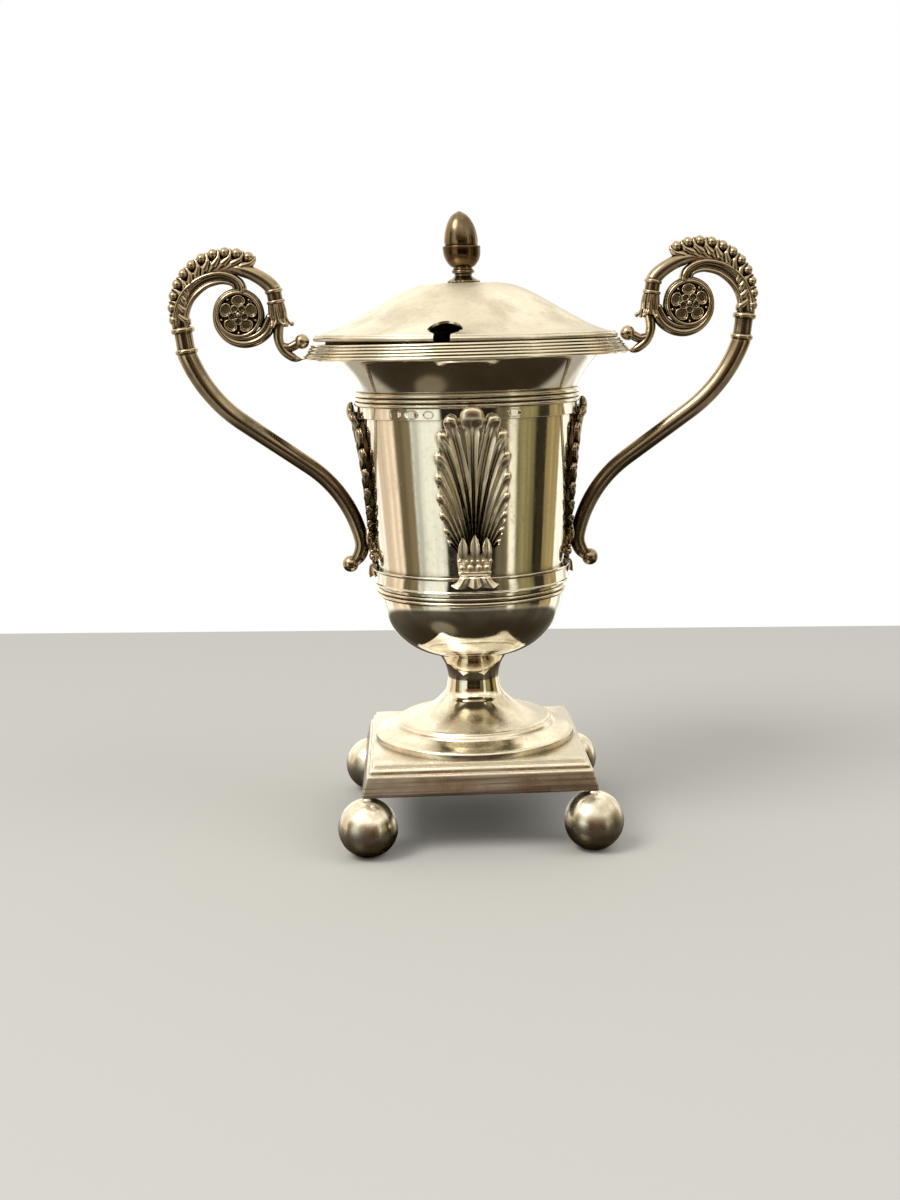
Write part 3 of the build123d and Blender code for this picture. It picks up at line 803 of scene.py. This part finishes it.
def palmette_foot():
    """Three-toed flared foot under the fan."""
    rings = []
    low, high = PALM_LOW + 0.1, 72.0
    for t in np.linspace(0, 1, 26):
        h = high + (low - high) * t
        half = 3.7 + 2.5 * t ** 1.6
        ring = []
        for s in np.linspace(-1, 1, 41):
            toe = 0.5 + 0.5 * math.cos(3 * math.pi * s) if abs(s) < 0.999 else 0
            edge = math.sqrt(max(0, 1 - abs(s) ** 8))
            swell = 0.35 + 0.75 * t ** 2 + 0.25 * math.sin(math.pi * t)
            notch_up = 0.75 * t ** 3 * (1 - toe)
            ring.append(on_wall(half * s, h + notch_up, (swell * (0.35 + 0.65 * toe) + 0.2) * edge))
        for s in np.linspace(0.95, -0.95, 20):
            ring.append(on_wall(half * s, h, -0.15))
        rings.append(ring)
    bar = [(u, 72.3, 0.75) for u in np.linspace(-4.0, 4.0, 20)]
    widths = [0.42 * math.sqrt(max(0.02, 1 - (x[0] / 4.2) ** 8)) for x in bar]
    rim = leaf(bar, widths, widths, back=1.0, face=lambda s: math.sqrt(max(0, 1 - s * s)))
    return [skin(rings), mapped(rim, on_wall)]


def palmette():
    shapes = [mapped(s, on_wall) for s in fan()]
    shapes.append(fan_back())
    for u in (-2.75, 0.1, 2.95):
        shapes.append(mapped(small_leaf(u, 75.9, 82.1 if abs(u) < 1 else 81.4, 1.25), on_wall))
    for u in (-3.7, -1.95, -0.65, 0.75, 2.05, 3.8):
        shapes.append(ball(on_wall(u, 75.3, 0.95), 0.55, 16, 10))
    for u in (-3.1, -1.15, 0.95, 2.95):
        shapes.append(ball(on_wall(u, 73.7, 0.8), 0.9, 20, 12))
    base = [[on_wall(half * s, h, d) for s, d in
             [(-1, 0.0), (-0.85, 0.6), (-0.4, 0.8), (0, 0.8), (0.4, 0.8), (0.85, 0.6), (1, 0.0),
              (0.5, -0.2), (-0.5, -0.2)]]
            for h, half in ((71.6, 4.0), (73.0, 4.1), (75.0, 4.4), (77.2, 4.3))]
    shapes.append(skin(base))
    return merged(*shapes, *palmette_foot())


def palmettes():
    front = palmette()
    for name, turn in (("front", 0), ("right", 90), ("back", 180), ("left", 270)):
        c, s = math.cos(math.radians(turn)), math.sin(math.radians(turn))
        shape = mapped(front, lambda x, y, z: (x * c - y * s, x * s + y * c, z))
        # The side palmettes take the darker cast silver as painted shade on their shadowed sides; front
        # and back take the relief silver.
        material = RELIEF if turn % 180 == 0 else CAST_AND_SHADE
        make("palmette_relief_" + name, shape, "vase", material, ["palmette_" + name],
             crease=60)


# ---- Handles (drawn for the right side, mirrored for the left) ------------------------
ARM_TOP, ARM_BEND = (72.5, 127.9), (58.8, 109.9)
ARM_FOOT, ARM_BALL = (28.95, 78.0), (31.9, 71.6)
COLLAR_TOP = (73.4, 134.9)
CREST_CENTRE, CREST_R = (61.3, 139.3), 14.1
CREST_FIRST, CREST_STEP, CREST_LEAVES = -10.0, 12.46, 11
INNER_LOW, INNER_TOP = (48.8, 140.2), (49.45, 144.1)
CALYX_LOW = (48.2, 134.7)


def arm():
    upper, way = leave(ARM_TOP, (-0.34, -0.94), ARM_BEND, 24)
    run = [tuple(np.array(ARM_BEND) + way * s) for s in np.linspace(0, 20.5, 24)]
    lower, way = leave(run[-1], way, ARM_FOOT, 22)
    hook, _ = leave(ARM_FOOT, way, ARM_BALL, 16)
    path = chain(upper, run, lower, hook)
    radius = taper(path, (0, 0.15, 0.75, 0.92, 1), (2.35, 2.15, 1.85, 1.7, 1.15))
    ridge = lambda t: 1 + 0.07 * math.cos(2 * t) + 0.03 * math.cos(4 * t)
    return merged(tube(path, radius, section=ridge, around=28),
                  ball((ARM_BALL[0] + 0.2, 0, ARM_BALL[1]), 2.2, 32, 20))


def collar(low, high, neck, ring_low, ring_high, thick):
    """Two rounded rings on a neck."""
    height = math.dist(low, high)
    outline = chain([(0, -0.25), (neck * 0.8, -0.25)],
                    arc3((neck, 0.05), (ring_low, thick / 2), (neck, thick - 0.05), 10),
                    [(neck, height / 2)],
                    arc3((neck, height - thick + 0.05), (ring_high, height - thick / 2),
                         (neck, height - 0.05), 10),
                    [(neck * 0.8, height + 0.25), (0, height + 0.25)])
    return mapped(lathe(outline, 48, closed=False), on_line(low, high))


def arch():
    """Channelled arm over the rosette with a thin stem along it, and the inner arm."""
    inner = smooth([(73.3, 134.9), (72.9, 138.9), (70.9, 142.8), (67.3, 145.8), (63.5, 146.9),
                    (60.9, 146.6), (59.2, 145.6), (58.6, 143.8)], 8)
    radius = taper(inner, (0, 0.35, 0.6, 0.85, 1), (1.8, 1.65, 1.4, 1.1, 1.0))
    hollow = lambda t: 1 - 0.6 * math.exp(-((abs(math.sin(t)) - 1) / 0.22) ** 2)
    channel = tube(inner, radius, deep=1.25, around=48, section=hollow)
    outer = smooth([(75.2, 135.0), (74.7, 139.4), (72.4, 143.9), (68.2, 147.1), (63.7, 148.3),
                    (60.4, 147.8), (58.0, 146.3), (57.1, 144.4), (57.5, 143.5)], 8)
    stem = tube(outer, taper(outer, (0, 0.7, 0.85, 1), (0.85, 0.85, 1.0, 0.85)), deep=1.95)
    fall = smooth([(61.0, 149.2), (58.6, 149.3), (55.6, 148.5), (52.7, 147.0), (50.6, 145.4),
                   (49.45, 144.0)], 8)
    inner_arm = tube(fall, taper(fall, (0, 0.3, 1), (0.9, 1.7, 2.05)))
    return merged(channel, stem, inner_arm)


def crest_at(angle, radius):
    t = math.radians(angle)
    return (CREST_CENTRE[0] + radius * math.cos(t), CREST_CENTRE[1] + radius * math.sin(t))


def leaf_crest():
    """Leaves that lean towards the arch's inner end, each curled round a bead."""
    shapes = []
    last = CREST_FIRST + CREST_STEP * (CREST_LEAVES - 1)
    for i in range(CREST_LEAVES):
        at = CREST_FIRST + CREST_STEP * i
        start = max(at - 15, CREST_FIRST - 3)
        root_r = CREST_R - ramp(at, (-10, 1.4), (20, 3.3), (60, 4.3), (115, 4.0))
        path = smooth([crest_at(start, root_r), crest_at(at - 6.5, CREST_R - 3.1),
                       crest_at(at + 0.6, CREST_R - 2.05), crest_at(at + 4.6, CREST_R - 1.1),
                       crest_at(at + 6.0, CREST_R + 0.1), crest_at(at + 5.3, CREST_R + 0.95)], 6)
        radius = taper(path, (0, 0.28, 0.6, 0.85, 1), (0.6, 1.25, 1.0, 0.6, 0.3))
        shapes.append(tube(path, radius, deep=1.35, around=20))
        bead = crest_at(at - 0.2, CREST_R + 0.15)
        drop = ball((0, 0, 0), 1.38, 28, 18)
        shapes.append(mapped(drop, lambda x, y, z, b=bead: (b[0] + x, y * 1.35, b[1] + z)))
    plate = []
    for a in np.linspace(CREST_FIRST - 2, last + 2, 70):
        low = CREST_R - ramp(a, (-10, 1.9), (20, 3.9), (60, 5.0), (115, 4.9))
        high = CREST_R - 1.0
        ring = []
        for r, y in ((low, -1.0), (high - 0.6, -0.9), (high, 0), (high - 0.6, 0.9), (low, 1.0)):
            x, z = crest_at(a, r)
            ring.append((x, y, z))
        plate.append(ring)
    shapes.append(skin(plate))
    return merged(*shapes)


def calyx():
    """Bell of pointed leaves that hangs from the inner collar."""
    height = math.dist(CALYX_LOW, INNER_LOW)
    core = [(0, -0.2), (1.0, -0.1), (1.5, 0.6), (1.75, 2.2), (1.95, height - 0.5),
            (1.7, height + 0.2), (0, height + 0.2)]
    shapes = [lathe(core, 40, closed=False)]
    for k in range(6):
        turn = math.radians(60 * k)
        path, widths, heights = [], [], []
        for t in np.linspace(0, 1, 20):
            r = ramp(t, (0, 1.85), (0.35, 2.05), (0.7, 2.0), (0.88, 2.45), (1, 3.15))
            path.append((0.0, height * (1 - t) - 0.1 * t, r))
            widths.append(1.12 * math.sqrt(max(0.03, 1 - ((t - 0.35) / 0.72) ** 2)))
            heights.append(0.32 + 0.12 * t)
        shape = leaf(path, widths, heights, back=0.8, across=11)

        def around(u, h, d, turn=turn):
            return (d * math.cos(turn) - u * math.sin(turn), d * math.sin(turn) + u * math.cos(turn), h)
        shapes.append(mapped(shape, around))
        shapes.append(ball((3.25 * math.cos(turn), 3.25 * math.sin(turn), 0.05), 0.62, 18, 12))
    return mapped(merged(*shapes), on_line(CALYX_LOW, INNER_LOW))


def volute():
    """Strand that leaves the calyx and winds once round the rosette."""
    outline = [(186, 10.3), (193, 10.0), (216, 9.65), (241, 9.05), (267, 8.45), (296, 7.85),
               (330, 7.3), (362, 6.9), (396, 6.8), (432, 6.75), (468, 6.75), (504, 6.75), (540, 6.8),
               (566, 6.85)]
    shapes = []
    for inset, thick in ((0.95, 1.0), (2.35, 0.75)):
        points = []
        for a, edge in outline:
            r = max(edge - inset, 5.95)
            points.append((ROSETTE.x + r * math.cos(math.radians(a)),
                           ROSETTE.z + r * math.sin(math.radians(a))))
        path = smooth(points, 8)
        size = taper(path, (0, 0.3, 0.5, 1), (thick + 0.25, thick + 0.1, 0.8, 0.8))
        shapes.append(tube(path, size, deep=1.35))
    rows = []
    for a in np.arange(96) * TAU / 96:
        way = np.array((math.cos(a), math.sin(a)))
        ring = []
        for r, y in ((5.05, 0.9), (5.25, 1.28), (5.55, 1.38), (5.85, 1.25), (6.1, 0.95),
                     (6.1, -0.95), (5.85, -1.25), (5.55, -1.38), (5.25, -1.28), (5.05, -0.9)):
            ring.append((ROSETTE.x + r * way[0], y, ROSETTE.z + r * way[1]))
        rows.append(ring)
    return merged(*shapes, skin(rows, loop=True))


def petal(x, z, angle, out, wide, long):
    """Distance from a petal's centre as a share of its size."""
    a = math.radians(angle)
    along = x * math.cos(a) + z * math.sin(a) - out
    aside = z * math.cos(a) - x * math.sin(a)
    return math.hypot(along / long, aside / wide)


def petal_height(x, z):
    """Relief of the flower over its plate, x and z measured from its centre."""
    high = 0.0
    for k in range(5):
        d = petal(x, z, 92 + 72 * k, 3.5, 1.95, 1.55)
        if d < 1.3:
            cup = 0.18 + 0.80 * math.exp(-((d - 0.84) / 0.17) ** 2)
            high = max(high, cup * (1 - soft((d - 0.97) / 0.13)))
        d = petal(x, z, 128 + 72 * k, 4.65, 0.45, 0.45)
        if d < 1:
            high = max(high, 0.85 * math.sqrt(1 - d * d))
        d = petal(x, z, 128 + 72 * k, 1.72, 1.16, 1.02)
        if d < 1.3:
            cup = 0.62 + 0.80 * math.exp(-((d - 0.80) / 0.24) ** 2)
            high = max(high, cup * (1 - soft((d - 0.97) / 0.15)))
    d = math.hypot(x, z) / 0.88
    if d < 1:
        high = max(high, 0.6 + 1.2 * math.sqrt(1 - d * d))
    return high


def rosette():
    plate = 0.35
    rows = []
    around = 220
    radii = list(np.linspace(0.06, 5.12, 92))
    for face in (-1, 1):
        rings = []
        for r in radii:
            ring = []
            for k in range(around):
                a = TAU * k / around
                x, z = r * math.cos(a), r * math.sin(a)
                ring.append((ROSETTE.x + x, face * (plate + petal_height(x, z)), ROSETTE.z + z))
            rings.append(ring)
        rows += rings if face < 0 else rings[::-1]
    top = plate + petal_height(0, 0)
    return skin(rows, ends=((ROSETTE.x, -top, ROSETTE.z), (ROSETTE.x, top, ROSETTE.z)))


def rim_bracket():
    stay = smooth([(48.2, 135.2), (48.6, 132.9), (48.5, 130.6), (47.4, 128.3), (45.8, 126.9),
                   (44.3, 126.1), (43.3, 125.9)], 8)
    main = tube(stay, taper(stay, (0, 0.25, 0.75, 1), (1.3, 1.3, 1.1, 0.45)), deep=1.1)
    branch = smooth([(47.3, 129.2), (45.9, 129.0), (44.6, 129.5), (43.2, 130.3)], 6)
    link = tube(branch, np.linspace(1.15, 1.3, len(branch)))
    return merged(main, link, ball((42.6, 0, 130.5), 1.95, 28, 18))


def handles():
    pieces = {
        "arm": (arm(), 60), "outer_collar": (collar(ARM_TOP, COLLAR_TOP, 2.35, 3.0, 3.15, 1.6), 60),
        "arch": (arch(), 60), "leaf_crest": (leaf_crest(), 60),
        "inner_collar": (collar(INNER_LOW, INNER_TOP, 1.95, 2.45, 2.4, 1.15), 60),
        "calyx": (calyx(), 60), "volute": (volute(), 50), "rosette": (rosette(), 60),
        "rim_bracket": (rim_bracket(), 60),
    }
    for name, (shape, crease) in pieces.items():
        for side in ("right", "left"):
            part = shape if side == "right" else mirrored(shape)
            material = FLOWER if name == "rosette" else CAST_AND_SHADE
            make("scroll_%s_%s" % (side, name), part, "vase", material,
                 ["handle_%s_%s" % (side, name)], crease=crease)


# ---- Lid -------------------------------------------------------------------------
NOTCH_TURN = math.radians(-10.4)
LID_SHEET = 0.5
FINIAL_LEAN = 0.045             # sideways for each millimetre up
LID_LIFT = 0.75                 # how far the lid's edge stands off the rim on the left


def warp(x, y, z):
    """The lid is a little bent: its edge stands off the rim towards the left."""
    r = math.hypot(x, y)
    lift = LID_LIFT * soft((12 - x) / 50) * soft((r - 18) / 21)
    return (x, y, z + lift)


def notch_outline():
    hole = arc3((-4.25, 34.8), (0, 29.9), (4.25, 34.8), 36)
    slot = eased([(4.25, 34.8, 0.7), (2.05, 37.6, 0.8), (2.05, 46, 0), (-2.05, 46, 0),
                  (-2.05, 37.6, 0.8), (-4.25, 34.8, 0.7)])
    turn = math.pi + NOTCH_TURN
    c, s = math.cos(turn), math.sin(turn)
    return [(x * c - y * s, x * s + y * c) for x, y in chain(hole[1:-1], slot)]


def cut_notch(shape):
    """The shape with the spoon notch cut through it."""
    outline = notch_outline()
    rings = [[(x, y, z) for x, y in outline] for z in (EDGE_LOW - 4, LID_TOP - 2)]
    dome, cutter = (close_mesh(name, *open_mesh(name, part))
                    for name, part in (("dome", shape), ("cutter", skin(rings))))
    cut = dome.modifiers.new("notch", "BOOLEAN")
    cut.operation, cut.solver, cut.object = "DIFFERENCE", "EXACT", cutter
    bpy.context.view_layer.update()
    done = dome.evaluated_get(bpy.context.evaluated_depsgraph_get()).to_mesh()
    verts = [tuple(v.co) for v in done.vertices]
    faces = [tuple(f.vertices) for f in done.polygons]
    for thing in (dome, cutter):
        bpy.data.objects.remove(thing)
    return verts, faces


def lid():
    base = EDGE_HIGH
    rise = smooth([(LID_R, base + 0.55), (37.6, base + 1.0), (35.2, base + 1.75), (31.7, base + 3.2),
                   (28.0, base + 5.25), (24.0, base + 7.55), (20.0, base + 9.9), (16.0, base + 12.0),
                   (13.0, base + 13.2), (10.0, LID_TOP - 0.12), (7.0, LID_TOP), (4.0, LID_TOP),
                   (1.1, LID_TOP)], 10)
    rise = [tuple(p) for p in rise]
    under = beside(rise, LID_SHEET)[::-1]
    outline = chain(rise, under, [(38.4, base), (LID_R, base)])
    dome = mapped(cut_notch(lathe(outline, 288)), warp)
    make("lid_shell", dome, "lid", SATIN, ["lid_dome"], crease=45,
         ripple=(0.10, 11, 8), weighted=True)
    low, high = EDGE_LOW, EDGE_HIGH
    shoulder = (LID_R - 0.05, high + 0.5)
    wire = chain(arc3((LID_R, low), (EDGE_R, (low + high) / 2), shoulder, 10),
                 arc3(shoulder, (LID_R - 0.65, high + 0.95), (LID_R - 1.15, high + 0.55), 8),
                 [(38.0, high + 0.2), (38.0, low)])
    edge = mapped(cut_notch(lathe(wire, 288)), warp)
    make("lid_wire", edge, "lid", SATIN, ["lid_edge_wire"], crease=60)


def lean(x, y, z):
    """The finial stands a little out of true, to the left."""
    return (x - FINIAL_LEAN * (z - BASE_LOW), y, z)


def finial():
    z = BASE_LOW
    base = chain([(0, z - 0.1), (2, z - 0.1), (4.0, z - 0.1)],
                 eased([(4.0, z, 0), (4.1, z + 0.45, 0.2), (3.5, z + 0.9, 0.3), (2.7, z + 1.35, 0.4),
                        (2.15, z + 1.9, 0.4), (2.3, z + 2.4, 0.2), (2.95, z + 2.65, 0.2),
                        (3.0, z + 3.2, 0.2), (2.55, z + 3.5, 0.2), (2.5, BASE_TOP, 0)])[:-1],
                 [(2.5, BASE_TOP), (0, BASE_TOP)])
    shape = lathe(base, 96, closed=False)
    lobes = []
    for x, y, h in shape[0]:
        a = math.atan2(y, x)
        wave = 1 + 0.05 * math.cos(8 * a) * soft((z + 1.7 - h) / 1.2)
        lobes.append((x * wave, y * wave, h))
    make("finial_socket", mapped((lobes, shape[1]), lean), "lid", FINIAL, ["finial_base"],
         crease=50, ripple=(0.05, 2.0, 11))
    belly = arc3((2.9, CUP_LOW), (4.5, CUP_LOW + 2.2), (CUP_R, CUP_LOW + 4.4), 20)
    cup = chain([(0, CUP_LOW), (1.5, CUP_LOW)], belly,
                eased([belly[-1], (CUP_R + 0.12, CUP_LOW + 4.75, 0.1), (CUP_R, CUP_TOP, 0.15),
                       (4.4, CUP_TOP + 0.02, 0.1), (4.0, CUP_TOP - 0.25, 0)])[1:],
                [(2, CUP_TOP - 0.3), (0, CUP_TOP - 0.3)])
    make("finial_bowl", mapped(lathe(cup, 96, closed=False), lean), "lid", DARK_CUP,
         ["finial_cup"], crease=50, ripple=(0.04, 3.0, 12))
    low = ACORN_LOW
    side = smooth([(4.15, low - 0.2), (4.38, low + 1.2), (4.2, low + 3.0), (3.75, low + 4.8),
                   (2.95, low + 6.5), (1.9, low + 7.8), (0.9, ACORN_TOP - 0.35),
                   (0.3, ACORN_TOP - 0.05)], 8)
    nut = chain([(0, low - 0.2), (2, low - 0.2)], [tuple(p) for p in side], [(0, ACORN_TOP)])
    make("finial_nut_shape", mapped(lathe(nut, 96, closed=False), lean), "lid", FINIAL,
         ["finial_acorn"], crease=60, ripple=(0.05, 3.0, 13))


# ---- Studio ----------------------------------------------------------------------
# Lengths in the studio are metres.
HORIZON_BACK = 0.262            # how far the table goes on behind the object
TABLE_SIDE, TABLE_FRONT = 0.27, 0.21
TABLE_SKEW = 0.115              # slope of the table's back edge
MIRROR_FADE = (0.150, 0.185)    # distances between which the metal stops mirroring the table
LIGHTS_AIM = Vector((0, 0, 0.08))


def pale_table():
    """Plain pale table. Polished metal sees only its near part, and darker, like a stone worktop."""
    mesh = bpy.data.meshes.new("table_top")
    x, y0, y1 = TABLE_SIDE, -TABLE_FRONT, HORIZON_BACK
    skew = x * TABLE_SKEW
    mesh.from_pydata([(-x, y0, 0), (x, y0, 0), (x, y1 - skew, 0), (-x, y1 + skew, 0)], [], [(0, 1, 2, 3)])
    floor = bpy.data.objects.new("table_top", mesh)
    bpy.context.scene.collection.objects.link(floor)
    material = bpy.data.materials.new("pale_table")
    tree = empty_tree(material)
    path = add(tree, "ShaderNodeLightPath")
    pale = add(tree, "ShaderNodeBsdfDiffuse", {"Color": (0.69, 0.685, 0.655, 1)})
    at = add(tree, "ShaderNodeTexCoord").outputs["Object"]
    dark = add(tree, "ShaderNodeBsdfPrincipled", {"Base Color": (0.010, 0.006, 0.002, 1),
                                                  "Roughness": 0.17, "IOR": 1.45,
                                                  "Specular IOR Level": 0.35,
                                                  "Specular Tint": (1.0, 0.82, 0.55, 1)})
    middle_away = add(tree, "ShaderNodeVectorMath", {0: at}, operation="LENGTH").outputs["Value"]
    clear = add(tree, "ShaderNodeBsdfTransparent")
    dark = add(tree, "ShaderNodeMixShader", {0: spread(tree, middle_away, *MIRROR_FADE),
                                             1: dark.outputs[0], 2: clear.outputs[0]})
    pick = add(tree, "ShaderNodeMixShader", {0: path.outputs["Is Glossy Ray"], 1: pale.outputs[0],
                                             2: dark.outputs[0]})
    show(tree, pick)
    mesh.materials.append(material)


# Pale panels and dark gaps round the studio, as the metal mirrors them: where each one
# starts, in degrees from the camera's side and positive to the right, and its colour.
PANELS = [
    (-180, (1.42, 1.35, 1.18)), (-122, (1.15, 0.93, 0.68)), (-88, (0.22, 0.17, 0.09)),
    (-66, (0.88, 0.88, 0.74)), (-30, (0.03, 0.024, 0.016)), (28, (0.20, 0.165, 0.09)),
    (43, (1.15, 1.06, 0.82)), (53, (0.30, 0.25, 0.11)), (77, (0.04, 0.03, 0.015)),
    (93, (0.48, 0.36, 0.16)), (117, (1.35, 1.28, 1.12)),
]
PANEL_EDGE = 1.6                # how soft the edge of a panel is, in degrees


def panel_light(tree, way, x, y):
    """Colour of the panels in a direction, with soft folds and swaying edges."""
    turn = calc(tree, "ARCTAN2", x, calc(tree, "MULTIPLY", y, -1.0))
    sway = calc(tree, "MULTIPLY", calc(tree, "SUBTRACT", grain(tree, way, 5.0, 3.0), 0.5), 0.07)
    leaning = calc(tree, "ADD", turn, sway)
    share = calc(tree, "ADD", calc(tree, "MULTIPLY", leaning, 1 / TAU), 0.5)
    bands = add(tree, "ShaderNodeValToRGB", {0: share})
    stops = bands.color_ramp
    stops.interpolation = "EASE"
    while len(stops.elements) > 1:
        stops.elements.remove(stops.elements[-1])
    stops.elements[0].position = 0.0
    stops.elements[0].color = (*PANELS[0][1], 1)
    for (_, before), (azimuth, after) in zip(PANELS, PANELS[1:]):
        for edge, colour in ((azimuth - PANEL_EDGE, before), (azimuth + PANEL_EDGE, after)):
            stops.elements.new(edge / 360 + 0.5).color = (*colour, 1)
    level_way = add(tree, "ShaderNodeCombineXYZ", {0: x, 1: y}).outputs[0]
    folds = spread(tree, grain(tree, level_way, 4.0, 2.0), 0.34, 0.66, 0.55, 1.15)
    return add(tree, "ShaderNodeVectorMath", {0: bands.outputs[0], "Scale": folds},
               operation="SCALE").outputs[0]

def studio_world():
    """White to the camera, even and pale to matt surfaces, and soft panels to shiny ones."""
    world = bpy.data.worlds.new("studio")
    bpy.context.scene.world = world
    tree = empty_tree(world)
    way = add(tree, "ShaderNodeTexCoord").outputs["Generated"]
    x, y, z = add(tree, "ShaderNodeSeparateXYZ", {0: way}).outputs
    panels = panel_light(tree, way, x, y)
    ceiling = blend_colour(tree, spread(tree, grain(tree, way, 2.2, 3.0), 0.35, 0.65),
                           (0.80, 0.72, 0.56, 1), (1.45, 1.38, 1.20, 1))
    ahead = calc(tree, "MULTIPLY", spread(tree, y, -0.72, -0.86), spread(tree, z, -0.02, 0.10))
    around = blend_colour(tree, ahead, panels, (0.17, 0.085, 0.034, 1))
    above = spread(tree, z, 0.26, 0.58)
    around = blend_colour(tree, above, around, ceiling)
    below = spread(tree, z, -0.30, -0.44)
    around = blend_colour(tree, below, around, (0.46, 0.42, 0.34, 1))
    path = add(tree, "ShaderNodeLightPath")
    seen = blend_colour(tree, path.outputs["Is Glossy Ray"], (0.60, 0.59, 0.565, 1), around)
    seen = blend_colour(tree, path.outputs["Is Camera Ray"], seen, (1.0, 1.0, 1.0, 1))
    light = add(tree, "ShaderNodeBackground", {"Color": seen, "Strength": 1.0})
    show(tree, light, "ShaderNodeOutputWorld")


def area_light(name, place, size, power, colour, glossy=True):
    data = bpy.data.lights.new(name, "AREA")
    data.shape = "DISK"
    data.size = size
    data.energy = power
    data.color = colour
    light = bpy.data.objects.new(name, data)
    bpy.context.scene.collection.objects.link(light)
    light.location = place
    light.rotation_euler = (LIGHTS_AIM - Vector(place)).to_track_quat("-Z", "Y").to_euler()
    light.visible_camera = False
    light.visible_glossy = glossy


def lights():
    """Soft light from the upper left and a weak fill."""
    area_light("key", (-0.60, -0.45, 0.95), 0.55, 5.5, (1.0, 0.97, 0.92))
    area_light("fill", (0.7, -0.35, 0.7), 0.7, 1.5, (1.0, 0.98, 0.95), glossy=False)


# The camera stands in front of the object, a little to its left, and looks down.
CAMERA_AZIMUTH, CAMERA_DISTANCE, CAMERA_HEIGHT = math.radians(2.28), 0.3993, 0.1331
CAMERA_YAW, CAMERA_PITCH, CAMERA_ROLL = (math.radians(a) for a in (-0.830, 10.255, -1.526))
CAMERA_LENS = 45.18


def camera():
    data = bpy.data.cameras.new("camera")
    data.sensor_width = 36.0
    data.sensor_fit = "AUTO"
    data.lens = CAMERA_LENS
    data.clip_start, data.clip_end = 0.01, 20
    view = bpy.data.objects.new("camera", data)
    bpy.context.scene.collection.objects.link(view)
    heading = CAMERA_AZIMUTH + CAMERA_YAW
    ahead = Vector((math.sin(heading) * math.cos(CAMERA_PITCH),
                    math.cos(heading) * math.cos(CAMERA_PITCH), -math.sin(CAMERA_PITCH)))
    right = Vector((math.cos(heading), -math.sin(heading), 0))
    up = right.cross(ahead)
    level_right = right * math.cos(CAMERA_ROLL) + up * math.sin(CAMERA_ROLL)
    level_up = up * math.cos(CAMERA_ROLL) - right * math.sin(CAMERA_ROLL)
    turn = Matrix((level_right, level_up, -ahead)).transposed().to_4x4()
    place = Vector((-math.sin(CAMERA_AZIMUTH) * CAMERA_DISTANCE,
                    -math.cos(CAMERA_AZIMUTH) * CAMERA_DISTANCE, CAMERA_HEIGHT))
    view.matrix_world = Matrix.Translation(place) @ turn
    bpy.context.scene.camera = view


def finish_cad_nodes():
    """The CAD nodes that stay in sight get the same kind of silver, darker as tarnish and as painted
    shade, since they sit inside the rim and under the lid.
    """
    for node in ("lid_bezel", "finial_stud", "finial_nut"):
        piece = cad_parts[node]
        for i in range(len(piece.material_slots)):
            piece.material_slots[i].material = INSIDE_TARNISH_AND_SHADE


plinth()
ball_feet()
foot()
vase()
rings()
palmettes()
handles()
lid()
finial()
finish_cad_nodes()
pale_table()
studio_world()
lights()
camera()
bpy.context.scene.view_settings.view_transform = "Standard"
